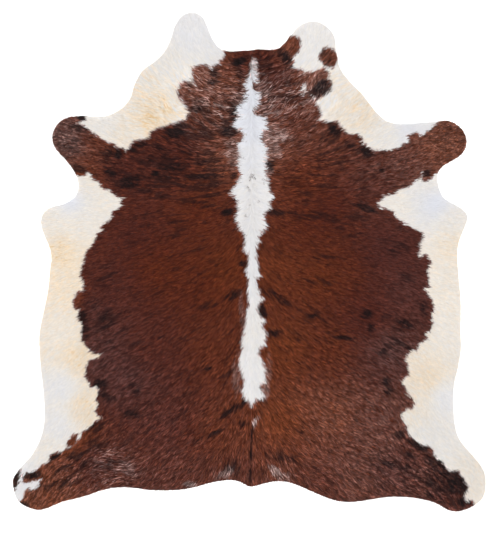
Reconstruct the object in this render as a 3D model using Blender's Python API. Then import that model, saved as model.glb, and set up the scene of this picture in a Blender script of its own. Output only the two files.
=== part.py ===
"""A cowhide rug: one whole hide, cut along its natural edge, lying flat with its hair up.

Blender 4.5, metres. The head end points to +Y, the hide's right side as seen from above to +X,
and the floor is z = 0. The hide is one solid: a flat underside, the cut edge of the skin, and
over it the lie of the hair, which is deepest along the back and shortest on the belly margins.
"""
from collections import namedtuple

import bmesh
import bpy
import numpy as np
from mathutils import Vector
from mathutils.geometry import delaunay_2d_cdt

MM = 0.001

# Depths
SKIN = 2.5 * MM                  # tanned skin, as its cut edge shows it
EDGE_HAIR = 1.0 * MM             # hair over the very edge of the skin
BACK_HAIR = 4.0 * MM             # lying hair away from the edge
EDGE_ROLL = 18.0 * MM            # over this distance the hair thins down to the edge

# Spacing of the points that carry the surface
EDGE_STEP = 22.0 * MM            # along the edge
RIM_INSETS = (6.0 * MM, 18.0 * MM)   # two rows of points inside the edge
FIELD_STEP = 55.0 * MM           # over the field of the hide
CREASE_STEP = 11.0 * MM          # near a crease
CREASE_REACH = 30.0 * MM         # how far from a crease the close points go
RIM_CLEARANCE = 0.7              # share of its inset that a rim point keeps from the edge
FIELD_CLEARANCE = 30.0 * MM      # what a field point keeps from the edge
CREASE_PIECES = 12               # straight runs that a crease's bow is measured by
MERGE_DISTANCE = 0.0001 * MM     # points closer than this would be one point
SHARP_ANGLE = 40.0               # degrees: the cut edge of the skin is sharper than this

INSIDE_ONLY = 1                  # the triangulation's mode that leaves out what is past the edge

HAIR_COLOUR = (0.115, 0.033, 0.014, 1.0)     # chestnut, linear
HAIR_ROUGHNESS = 0.55

# The edge of the hide, clockwise as seen from above, in millimetres from the middle of the hide:
# across is positive to the right, and along is positive towards the head.
EdgePoint = namedtuple("EdgePoint", "place across along")

RIGHT_HEAD_FLAP = (
    EdgePoint("brow, middle", 35, 935),
    EdgePoint("brow, right end", 110, 935),
    EdgePoint("inner corner", 140, 950),
    EdgePoint("inner side", 220, 1040),
    EdgePoint("tip, inner", 265, 1057),
    EdgePoint("tip, outer", 310, 1053),
    EdgePoint("shoulder of the tip", 367, 1005),
    EdgePoint("outer side", 383, 911),
    EdgePoint("cheek", 398, 853),
    EdgePoint("neck, upper", 438, 796),
)
RIGHT_FORELEG = (
    EdgePoint("neck, lower", 491, 743),
    EdgePoint("chest, upper", 570, 645),
    EdgePoint("chest bay", 627, 611),
    EdgePoint("front of the leg", 825, 619),
    EdgePoint("tip, front", 869, 622),
    EdgePoint("tip, front corner", 913, 603),
    EdgePoint("tip, upper", 942, 572),
    EdgePoint("tip", 954, 532),
    EdgePoint("tip, lower", 946, 495),
    EdgePoint("tip, rear corner", 922, 466),
    EdgePoint("back of the leg", 840, 413),
    EdgePoint("armpit, upper", 825, 378),
    EdgePoint("armpit, lower", 851, 286),
)
RIGHT_FLANK = (
    EdgePoint("elbow, upper", 933, 233),
    EdgePoint("elbow", 958, 202),
    EdgePoint("below the elbow", 920, 88),
    EdgePoint("girth", 913, 26),
    EdgePoint("belly, front", 928, -176),
    EdgePoint("belly", 927, -299),
    EdgePoint("belly, rear", 929, -387),
    EdgePoint("flank, upper", 915, -471),
    EdgePoint("flank", 898, -550),
)
RIGHT_HIND_LEG = (
    EdgePoint("flank, lower", 902, -713),
    EdgePoint("stifle", 922, -779),
    EdgePoint("front of the leg", 1030, -920),
    EdgePoint("tip", 1034, -1017),
    EdgePoint("tip, corner", 1008, -1058),
    EdgePoint("tip, rear", 906, -1098),
    EdgePoint("back of the leg", 794, -1052),
)
RUMP = (
    EdgePoint("right bay", 645, -1032),
    EdgePoint("right buttock, outer", 438, -1056),
    EdgePoint("right buttock, inner", 367, -1046),
    EdgePoint("right of the tail, outer", 178, -970),
    EdgePoint("right of the tail", 121, -964),
    EdgePoint("right of the tail, inner", 55, -976),
    EdgePoint("tail stub", 2, -988),
    EdgePoint("left of the tail, inner", -42, -967),
    EdgePoint("left of the tail", -81, -959),
    EdgePoint("left of the tail, outer", -152, -966),
    EdgePoint("left buttock", -288, -999),
)
LEFT_HIND_LEG = (
    EdgePoint("left buttock, outer", -438, -1003),
    EdgePoint("left bay, inner", -521, -992),
    EdgePoint("left bay, outer", -605, -994),
    EdgePoint("back of the leg, inner", -750, -1036),
    EdgePoint("back of the leg, outer", -821, -1053),
    EdgePoint("tip, rear", -931, -1091),
    EdgePoint("tip, corner", -1019, -1052),
    EdgePoint("tip, lower", -1036, -1008),
    EdgePoint("tip", -1041, -962),
    EdgePoint("tip, upper", -1025, -926),
    EdgePoint("front of the leg", -948, -834),
)
LEFT_FLANK = (
    EdgePoint("stifle", -905, -713),
    EdgePoint("flank", -925, -396),
    EdgePoint("belly, rear", -924, -308),
    EdgePoint("belly", -890, -141),
    EdgePoint("belly, front", -878, -35),
    EdgePoint("girth", -873, 35),
    EdgePoint("below the elbow", -917, 158),
    EdgePoint("elbow", -915, 200),
    EdgePoint("elbow, upper", -891, 232),
    EdgePoint("armpit, lower", -803, 262),
)
LEFT_FORELEG = (
    EdgePoint("armpit", -768, 289),
    EdgePoint("armpit, middle", -753, 330),
    EdgePoint("armpit, upper", -763, 380),
    EdgePoint("back of the leg", -792, 429),
    EdgePoint("tip, rear", -860, 510),
    EdgePoint("tip", -869, 550),
    EdgePoint("tip, upper", -860, 585),
    EdgePoint("tip, front corner", -832, 620),
    EdgePoint("tip, front", -790, 638),
    EdgePoint("front of the leg", -728, 642),
    EdgePoint("chest bay", -662, 638),
    EdgePoint("chest", -609, 649),
    EdgePoint("chest, upper", -557, 682),
)
LEFT_HEAD_FLAP = (
    EdgePoint("neck, lower", -526, 721),
    EdgePoint("neck", -506, 783),
    EdgePoint("neck, upper", -471, 842),
    EdgePoint("cheek, lower", -416, 884),
    EdgePoint("cheek", -374, 928),
    EdgePoint("cheek, upper", -348, 979),
    EdgePoint("outer side", -326, 1045),
    EdgePoint("tip, outer", -297, 1084),
    EdgePoint("tip", -255, 1098),
    EdgePoint("tip, inner", -213, 1082),
    EdgePoint("inner side", -154, 966),
    EdgePoint("brow, left end", -112, 930),
)
EDGE = (
    RIGHT_HEAD_FLAP + RIGHT_FORELEG + RIGHT_FLANK + RIGHT_HIND_LEG + RUMP
    + LEFT_HIND_LEG + LEFT_FLANK + LEFT_FORELEG + LEFT_HEAD_FLAP
)

# Where the hair lies deeper or shallower than on the back, in millimetres: an ellipse that fades
# out at its rim. Lean is the angle of its long half from the length of the hide, in degrees.
Swell = namedtuple("Swell", "place across along half_width half_length lean rise")
SWELLS = (
    Swell("curly hair of the neck", 30, 700, 330, 260, 0, 1.6),
    Swell("hair line along the back", 5, 0, 75, 900, 0, 0.8),
    Swell("tufts over the tail", 10, -880, 190, 120, 0, 1.2),
    Swell("left thigh", -560, -900, 120, 260, 75, 0.9),
    Swell("right thigh", 560, -920, 120, 280, -75, 0.9),
    Swell("left belly margin", -830, -250, 130, 620, 0, -1.6),
    Swell("right belly margin", 850, -250, 130, 620, 0, -1.6),
    Swell("bare oval on the left flank", -830, -640, 70, 210, 0, -0.8),
    Swell("bare oval on the right flank", 860, -650, 60, 190, 0, -0.8),
    Swell("left head flap", -260, 1000, 110, 130, 0, -1.0),
    Swell("right head flap", 300, 980, 90, 110, 0, -1.0),
)

# Creases of the skin: soft ridges, or troughs where the rise is negative, each a bow from its
# start through its middle to its end, in millimetres.
Crease = namedtuple("Crease", "place start middle end half_width rise")
CREASES = (
    Crease("left neck, upper fold", (-510, 735), (-430, 715), (-345, 720), 12, 1.2),
    Crease("left neck, middle fold", (-480, 690), (-400, 672), (-325, 712), 14, 1.4),
    Crease("left neck, lower fold", (-490, 640), (-420, 655), (-400, 715), 14, 1.1),
    Crease("right neck, upper fold", (505, 705), (430, 735), (375, 690), 12, 1.2),
    Crease("right neck, middle fold", (520, 640), (440, 690), (385, 760), 14, 1.3),
    Crease("right neck, lower fold", (545, 610), (460, 630), (395, 665), 14, 1.1),
    Crease("parting above the tail", (8, -715), (8, -850), (8, -960), 9, -2.0),
)


def smooth_edge(points, step):
    """Points about one step apart on a closed smooth curve through the given ones."""
    curve = []
    count = len(points)
    for index in range(count):
        before, start, end, after = (points[(index + shift) % count] for shift in (-1, 0, 1, 2))
        steps = ((before, start), (start, end), (end, after))
        spans = [np.linalg.norm(b - a) ** 0.5 for a, b in steps]
        t0, t1, t2, t3 = np.concatenate(([0.0], np.cumsum(spans)))
        pieces = max(1, round(np.linalg.norm(end - start) / step))
        for t in np.linspace(t1, t2, pieces, endpoint=False):
            a1 = (before * (t1 - t) + start * (t - t0)) / (t1 - t0)
            a2 = (start * (t2 - t) + end * (t - t1)) / (t2 - t1)
            a3 = (end * (t3 - t) + after * (t - t2)) / (t3 - t2)
            b1 = (a1 * (t2 - t) + a2 * (t - t0)) / (t2 - t0)
            b2 = (a2 * (t3 - t) + a3 * (t - t1)) / (t3 - t1)
            curve.append((b1 * (t2 - t) + b2 * (t - t1)) / (t2 - t1))
    return np.array(curve)


def hide_edge():
    """The hide's outline in metres, centred on its own box."""
    corners = [np.array((point.across, point.along)) * MM for point in EDGE]
    edge = smooth_edge(corners, EDGE_STEP)
    return edge - (edge.min(axis=0) + edge.max(axis=0)) / 2


def distance_to_path(points, path, closed=False):
    """How far each point is from the nearest stretch of a path of straight runs."""
    starts = path if closed else path[:-1]
    runs = np.roll(path, -1, axis=0)[:len(starts)] - starts
    offsets = points[:, None] - starts[None]
    shares = (offsets * runs).sum(axis=2) / (runs ** 2).sum(axis=1)
    feet = starts + np.clip(shares, 0.0, 1.0)[..., None] * runs
    return np.linalg.norm(points[:, None] - feet, axis=2).min(axis=1)


def inside(points, edge):
    """True for each point that lies within the closed outline."""
    ahead = np.roll(edge, -1, axis=0)
    x, y = points[:, 0, None], points[:, 1, None]
    straddles = (edge[:, 1] > y) != (ahead[:, 1] > y)
    rise = np.where(ahead[:, 1] == edge[:, 1], 1.0, ahead[:, 1] - edge[:, 1])
    crossing = edge[:, 0] + (y - edge[:, 1]) / rise * (ahead[:, 0] - edge[:, 0])
    return (straddles & (x < crossing)).sum(axis=1) % 2 == 1


def smoothstep(share):
    share = np.clip(share, 0.0, 1.0)
    return share * share * (3.0 - 2.0 * share)


def crease_path(crease):
    """The crease as short straight runs along a bow through its three points."""
    start, middle, end = (np.array(point) * MM for point in (crease.start, crease.middle, crease.end))
    pull = 2.0 * middle - (start + end) / 2.0
    t = np.linspace(0.0, 1.0, CREASE_PIECES + 1)[:, None]
    return (1 - t) ** 2 * start + 2 * t * (1 - t) * pull + t ** 2 * end


def swell_height(points, swell):
    """The height that one swell adds at each point."""
    offset = points - np.array((swell.across, swell.along)) * MM
    lean = np.radians(swell.lean)
    across = offset[:, 0] * np.cos(lean) + offset[:, 1] * np.sin(lean)
    along = -offset[:, 0] * np.sin(lean) + offset[:, 1] * np.cos(lean)
    radius = np.hypot(across / (swell.half_width * MM), along / (swell.half_length * MM))
    return swell.rise * MM * smoothstep(1.0 - radius)


def crease_height(points, crease):
    """The height that one crease adds at each point, fading out at its two ends."""
    reach = distance_to_path(points, crease_path(crease)) / (2.0 * crease.half_width * MM)
    return crease.rise * MM * smoothstep(1.0 - reach)


def hair_top(points, edge):
    """Height of the top of the lying hair at each point."""
    to_edge = distance_to_path(points, edge, closed=True)
    lie = sum(swell_height(points, swell) for swell in SWELLS)
    lie = lie + sum(crease_height(points, crease) for crease in CREASES)
    share = smoothstep(to_edge / EDGE_ROLL)
    return SKIN + EDGE_HAIR + (BACK_HAIR - EDGE_HAIR + lie) * share


def triangular_grid(low, high, step):
    """Points of a triangular grid over a box."""
    row_step = step * 3 ** 0.5 / 2
    rows = np.arange(low[1], high[1] + row_step, row_step)
    columns = np.arange(low[0], high[0] + step, step)
    shifts = np.where(np.arange(len(rows)) % 2, step / 2, 0.0)
    return np.array([(x + shift, y) for y, shift in zip(rows, shifts) for x in columns])


def surface_points(edge):
    """The points inside the edge: rim rows, close points at creases and a wide grid elsewhere."""
    ahead = np.roll(edge, -1, axis=0) - np.roll(edge, 1, axis=0)
    inward = np.column_stack((ahead[:, 1], -ahead[:, 0]))
    inward /= np.linalg.norm(inward, axis=1)[:, None]
    chosen = []
    for inset in RIM_INSETS:
        row = edge + inward * inset
        keep = distance_to_path(row, edge, closed=True) > inset * RIM_CLEARANCE
        chosen.append(row[keep])

    low, high = edge.min(axis=0), edge.max(axis=0)
    paths = [crease_path(crease) for crease in CREASES]
    close = triangular_grid(low, high, CREASE_STEP)
    near = np.zeros(len(close), dtype=bool)
    for path in paths:
        box = (close > path.min(axis=0) - CREASE_REACH) & (close < path.max(axis=0) + CREASE_REACH)
        boxed = np.flatnonzero(box.all(axis=1))
        near[boxed[distance_to_path(close[boxed], path) < CREASE_REACH]] = True
    close = close[near]

    wide = triangular_grid(low, high, FIELD_STEP)
    for path in paths:
        wide = wide[distance_to_path(wide, path) > CREASE_REACH + FIELD_STEP / 3]
    for grid in (close, wide):
        grid = grid[inside(grid, edge)]
        chosen.append(grid[distance_to_path(grid, edge, closed=True) > FIELD_CLEARANCE])
    return np.concatenate(chosen)


def build_hide(material):
    """The hide as one closed mesh: hair side, cut edge and flat underside."""
    edge = hide_edge()
    points = np.concatenate((edge, surface_points(edge)))
    border = [(index, (index + 1) % len(edge)) for index in range(len(edge))]
    starts = [Vector(point) for point in points]
    flat, _, faces, *_ = delaunay_2d_cdt(starts, border, [], INSIDE_ONLY, MERGE_DISTANCE)
    flat = np.array([tuple(point) for point in flat])

    mesh = bmesh.new()
    top = [mesh.verts.new((x, y, z)) for (x, y), z in zip(flat, hair_top(flat, edge))]
    for face in faces:
        mesh.faces.new([top[index] for index in face])
    rim = [side for side in mesh.edges if side.is_boundary]
    wall = bmesh.ops.extrude_edge_only(mesh, edges=rim)["geom"]
    foot = [vert for vert in wall if isinstance(vert, bmesh.types.BMVert)]
    for vert in foot:
        vert.co.z = 0.0
    open_sides = [side for side in mesh.edges if side.is_boundary]
    bmesh.ops.contextual_create(mesh, geom=open_sides)
    bmesh.ops.recalc_face_normals(mesh, faces=mesh.faces)

    data = bpy.data.meshes.new("hide")
    mesh.to_mesh(data)
    mesh.free()
    data.materials.append(material)
    hide = bpy.data.objects.new("hide", data)
    bpy.context.scene.collection.objects.link(hide)
    data.shade_smooth()
    data.set_sharp_from_angle(angle=np.radians(SHARP_ANGLE))
    return hide


def hair_material():
    material = bpy.data.materials.new("hair")
    material.use_nodes = True
    shader = material.node_tree.nodes["Principled BSDF"]
    shader.inputs["Base Color"].default_value = HAIR_COLOUR
    shader.inputs["Roughness"].default_value = HAIR_ROUGHNESS
    shader.inputs["Metallic"].default_value = 0.0
    return material


def clear_scene():
    for item in list(bpy.data.objects):
        bpy.data.objects.remove(item, do_unlink=True)


clear_scene()
build_hide(hair_material())
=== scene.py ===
"""Cowhide rug: the looks.

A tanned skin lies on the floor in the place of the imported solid. The coat lies on the skin: tapered
locks of hair, joined into a few large pieces, which follow the lie of the hair. Places in the tables
are in millimetres from the middle of the hide: across is towards its right side, along is towards
its head. Each lock takes its pigment from these tables and from seeded noise.
"""

import math
from collections import namedtuple

import bmesh
import bpy
import numpy as np
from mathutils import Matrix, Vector
from mathutils.bvhtree import BVHTree
from mathutils.geometry import delaunay_2d_cdt


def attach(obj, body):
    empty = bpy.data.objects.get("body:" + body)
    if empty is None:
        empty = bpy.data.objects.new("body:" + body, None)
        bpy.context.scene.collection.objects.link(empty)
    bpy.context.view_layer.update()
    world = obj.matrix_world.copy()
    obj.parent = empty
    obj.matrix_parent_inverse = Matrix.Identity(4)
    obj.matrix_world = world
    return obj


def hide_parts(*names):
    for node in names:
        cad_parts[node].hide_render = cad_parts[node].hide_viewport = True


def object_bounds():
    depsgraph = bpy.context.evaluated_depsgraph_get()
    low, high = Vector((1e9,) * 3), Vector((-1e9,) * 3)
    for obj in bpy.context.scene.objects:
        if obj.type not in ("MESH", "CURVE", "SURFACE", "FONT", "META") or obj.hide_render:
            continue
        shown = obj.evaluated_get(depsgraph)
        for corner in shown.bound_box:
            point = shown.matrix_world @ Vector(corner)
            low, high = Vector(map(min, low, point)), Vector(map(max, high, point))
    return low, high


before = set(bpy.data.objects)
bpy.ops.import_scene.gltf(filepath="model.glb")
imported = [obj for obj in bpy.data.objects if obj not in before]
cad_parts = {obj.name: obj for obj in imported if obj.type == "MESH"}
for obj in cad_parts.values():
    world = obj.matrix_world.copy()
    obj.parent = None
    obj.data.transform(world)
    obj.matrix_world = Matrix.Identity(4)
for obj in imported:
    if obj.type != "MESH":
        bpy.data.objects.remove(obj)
CAD_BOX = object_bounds()
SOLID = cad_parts["hide"]

MM = 0.001
TINY = 1e-9


def by_region(kind, regions):
    """The rows of a table that is written region by region, as one list of named rows."""
    return [kind(*row) for rows in regions.values() for row in rows]


# ---------------------------------------------------------------- markings, in millimetres
# The edge of the brown, as (across, along), from the brow down the left side and up the right. Where
# the brown reaches the rim of the hide, the edge passes outside it.
BROWN_LEFT_NECK = (
    (-110, 960), (-110, 925), (-110, 895), (-135, 875), (-165, 865), (-165, 850), (-175, 855),
    (-190, 870), (-230, 865), (-250, 850), (-250, 820), (-245, 795), (-235, 770), (-255, 790),
    (-280, 800), (-305, 790), (-315, 750), (-310, 730), (-295, 705), (-280, 680), (-260, 660),
    (-275, 650), (-275, 630), (-295, 620), (-360, 605), (-430, 575), (-445, 545), (-515, 530),
    (-530, 500), (-550, 490), (-565, 500), (-580, 500), (-595, 510), (-595, 520), (-625, 525),
    (-640, 530), (-655, 540), (-670, 550), (-690, 565), (-705, 565), (-705, 575), (-715, 585),
    (-730, 600), (-745, 605), (-765, 610), (-745, 620), (-725, 625), (-730, 640), (-730, 675),
)
BROWN_LEFT_FORELEG = (
    (-915, 675), (-940, 495), (-845, 360), (-770, 385), (-745, 380), (-730, 385), (-715, 400),
    (-705, 390), (-690, 365), (-665, 355), (-655, 335), (-640, 325), (-615, 320), (-605, 305),
    (-575, 285), (-545, 285), (-565, 270), (-570, 255), (-560, 240),
)
BROWN_LEFT_FLANK = (
    (-575, 235), (-605, 220), (-610, 195), (-615, 180), (-650, 160), (-655, 150), (-645, 140),
    (-670, 120), (-680, 95), (-695, 65), (-715, 45), (-725, 20), (-735, -10), (-745, -65),
    (-730, -105), (-730, -130), (-755, -135), (-770, -155), (-775, -170), (-775, -200),
    (-765, -210), (-750, -210), (-760, -245), (-740, -265), (-735, -285), (-740, -320),
    (-735, -345), (-720, -370), (-705, -390), (-680, -405), (-650, -405), (-660, -420),
    (-705, -435), (-720, -465), (-720, -485), (-725, -505), (-705, -535), (-700, -550),
    (-675, -550), (-660, -565), (-675, -605), (-665, -625), (-680, -665), (-650, -690),
    (-680, -705),
)
BROWN_LEFT_HIND_LEG = (
    (-700, -725), (-710, -735), (-735, -750), (-740, -770), (-760, -800), (-780, -815),
    (-805, -825), (-830, -840), (-850, -840), (-880, -855), (-885, -885), (-920, -900),
    (-950, -925), (-985, -935), (-1000, -950), (-995, -970), (-980, -975), (-950, -960),
    (-915, -960), (-930, -985), (-945, -1005), (-980, -1005), (-990, -1015), (-995, -1040),
    (-1025, -1075),
)
BROWN_RUMP = (
    (-1055, -1180), (0, -1245), (1015, -1200),
)
BROWN_RIGHT_HIND_LEG = (
    (990, -1085), (985, -1060), (975, -1055), (955, -1060), (940, -1030), (955, -1015), (960, -995),
    (940, -955), (915, -920), (880, -925), (845, -880), (825, -875), (795, -815), (755, -810),
    (705, -770), (695, -740), (670, -695), (670, -670),
)
BROWN_RIGHT_FLANK = (
    (695, -640), (720, -645), (725, -625), (715, -600), (695, -590), (690, -570), (680, -550),
    (670, -535), (675, -520), (700, -490), (695, -455), (685, -435), (685, -425), (695, -405),
    (715, -390), (735, -390), (745, -375), (740, -360), (765, -350), (785, -340), (770, -315),
    (795, -305), (805, -280), (805, -255), (800, -225), (815, -215), (805, -180), (800, -160),
    (770, -125), (770, -110), (790, -110), (790, -70), (785, -30), (800, -5), (795, 10), (775, 30),
    (750, 15), (745, 25), (750, 55), (750, 80), (760, 95), (765, 115), (750, 135), (720, 145),
    (690, 165), (660, 180), (645, 195), (625, 225), (580, 235), (560, 260),
)
BROWN_RIGHT_FORELEG = (
    (595, 280), (585, 295), (635, 300), (670, 325), (695, 330), (715, 340), (735, 365), (755, 370),
    (760, 400), (770, 400), (765, 380), (765, 365), (775, 355), (790, 360), (810, 380), (840, 405),
    (990, 360), (1015, 660), (860, 645), (840, 620), (820, 605), (810, 590), (790, 575), (770, 560),
    (755, 555), (735, 570), (700, 555), (710, 540), (700, 525), (660, 505), (625, 490), (580, 490),
)
BROWN_RIGHT_NECK = (
    (555, 485), (515, 510), (490, 530), (500, 545), (475, 565), (440, 560), (405, 595), (390, 615),
    (300, 625), (315, 640), (315, 670), (285, 710), (270, 735), (300, 720), (335, 740), (360, 760),
    (360, 790), (350, 810), (345, 835), (330, 855), (300, 840), (260, 835), (245, 825), (235, 845),
    (205, 850), (190, 860), (195, 880), (185, 900), (215, 925), (225, 960), (220, 990), (190, 995),
    (165, 1000), (90, 975),
)
BROWN_EDGE = (
    BROWN_LEFT_NECK + BROWN_LEFT_FORELEG + BROWN_LEFT_FLANK + BROWN_LEFT_HIND_LEG + BROWN_RUMP
    + BROWN_RIGHT_HIND_LEG + BROWN_RIGHT_FLANK + BROWN_RIGHT_FORELEG + BROWN_RIGHT_NECK
)

# The edge of the white stripe along the back: its left side downwards and its right side upwards.
STRIPE_LEFT = (
    (15, 890), (5, 865), (5, 835), (-5, 825), (-15, 800), (-25, 780), (-20, 750), (-25, 720),
    (-30, 710), (-40, 690), (-55, 680), (-60, 670), (-50, 645), (-60, 625), (-75, 605), (-65, 590),
    (-45, 580), (-30, 565), (-30, 545), (-40, 530), (-50, 515), (-50, 495), (-45, 470), (-50, 450),
    (-55, 425), (-45, 405), (-40, 385), (-50, 360), (-60, 340), (-80, 315), (-90, 300), (-65, 285),
    (-55, 270), (-60, 250), (-50, 230), (-55, 210), (-65, 200), (-55, 165), (-45, 140), (-25, 125),
    (-20, 75), (-30, 50), (-10, 35), (-5, 10), (-5, -15), (-15, -35), (-5, -85), (-10, -125),
    (-5, -165), (-5, -190), (-10, -215), (-20, -275), (-25, -315), (-35, -350), (-35, -385),
    (-45, -415), (-45, -440), (-45, -465), (-35, -495), (-25, -525), (-25, -545), (-35, -565),
    (-30, -590), (-20, -610), (0, -620), (10, -635),
)
STRIPE_RIGHT = (
    (20, -620), (35, -610), (55, -610), (65, -595), (55, -570), (40, -555), (50, -545), (75, -535),
    (70, -515), (70, -465), (55, -430), (40, -405), (45, -385), (70, -370), (70, -350), (75, -320),
    (55, -280), (70, -260), (50, -245), (35, -215), (40, -190), (65, -165), (45, -150), (40, -120),
    (30, -80), (55, -65), (40, -40), (40, -15), (30, 10), (35, 25), (30, 50), (40, 60), (35, 75),
    (50, 90), (40, 105), (65, 140), (75, 150), (75, 165), (65, 205), (70, 220), (95, 240),
    (90, 260), (110, 285), (90, 310), (85, 345), (75, 385), (75, 405), (70, 435), (80, 470),
    (75, 495), (80, 505), (50, 530), (50, 545), (55, 565), (75, 580), (80, 595), (75, 620),
    (75, 630), (60, 635), (30, 640), (25, 655), (35, 670), (45, 695), (45, 710), (50, 725),
    (45, 740), (30, 750), (15, 760), (15, 780), (40, 785), (35, 810), (35, 860), (30, 890),
)
STRIPE_EDGE = STRIPE_LEFT + STRIPE_RIGHT

# Small marks that stand apart from the large ones: brown on white, or white on brown.
Spot = namedtuple("Spot", "place across along half_width half_length lean")
BROWN_SPOTS = (
    Spot("right head flap", 350, 900, 39, 48, 30),
    Spot("left hind foot, rim", -1031, -957, 16, 54, -12),
    Spot("left thigh, oval", -781, -792, 18, 33, -38),
)
WHITE_SPOTS = (
    Spot("gap beside the cheek patch", 243, 760, 8, 20, -22),
)

# Where hairs of the other colour are mixed in, and how many of them.
Roan = namedtuple("Roan", "across along half_width half_length lean share")
ROAN_PATCHES = by_region(Roan, {
    "neck": (
        (85, 668, 34, 26, 0, 0.05), (72, 750, 25, 22, 0, 0.08), (-62, 705, 24, 24, 0, 0.08),
    ),
    "withers": (
        (108, 546, 62, 42, 10, 0.12), (105, 490, 44, 40, 0, 0.1), (-80, 520, 26, 30, 0, 0.05),
        (-76, 480, 34, 62, 0, 0.1),
    ),
    "stripe": (
        (16, 842, 15, 42, 0, 0.36), (86, 430, 16, 70, 0, 0.08), (-32, -250, 12, 110, 3, 0.04),
        (-60, -510, 18, 80, 0, 0.05), (78, -520, 16, 90, -6, 0.07),
    ),
    "hind legs": (
        (-540, -905, 40, 30, -40, 0.05),
    ),
    "rump": (
        (22, -708, 8, 18, -12, 0.34), (38, -690, 9, 6, 0, 0.1), (-110, -930, 35, 20, 30, 0.1),
        (130, -935, 45, 22, -30, 0.12), (-265, -980, 30, 15, 0, 0.12),
    ),
})

# Long pale strands in the brown hair of the neck, from one end to the other. Sag is how far the
# middle hangs towards the tail.
Wisp = namedtuple("Wisp", "across along to_across to_along sag share")
WISPS = (
    Wisp(50, 650, 155, 670, 4, 0.50),
    Wisp(155, 670, 300, 735, 6, 0.30),
    Wisp(45, 675, 135, 695, 3, 0.28),
    Wisp(55, 705, 130, 715, 2, 0.22),
    Wisp(40, 830, 80, 815, -6, 0.22),
    Wisp(50, 792, 95, 785, -3, 0.30),
    Wisp(115, 640, 140, 660, 2, 0.35),
    Wisp(240, 690, 310, 740, 4, 0.25),
    Wisp(-65, 740, -20, 745, 0, 0.30),
    Wisp(-150, 700, -60, 685, 10, 0.50),
    Wisp(-175, 715, -115, 680, 4, 0.35),
    Wisp(-140, 655, -115, 632, 0, 0.45),
    Wisp(-255, 735, -150, 685, 10, 0.30),
    Wisp(-200, 770, -155, 745, 4, 0.22),
    Wisp(-300, 735, -260, 665, 4, 0.25),
    Wisp(-280, 745, -225, 690, 4, 0.22),
)

# Flecks of pigment in the white of the stripe.
Fleck = namedtuple("Fleck", "across along radius")
STRIPE_FLECKS = (
    Fleck(11, 387, 7), Fleck(6, 376, 6), Fleck(20, 369, 6), Fleck(4, 361, 5), Fleck(55, 363, 6),
    Fleck(59, 347, 5), Fleck(-2, 330, 7), Fleck(2, 319, 6), Fleck(37, 268, 6), Fleck(2, 253, 4),
    Fleck(-11, 204, 7), Fleck(-11, 563, 6), Fleck(-20, 455, 6),
)

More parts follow.
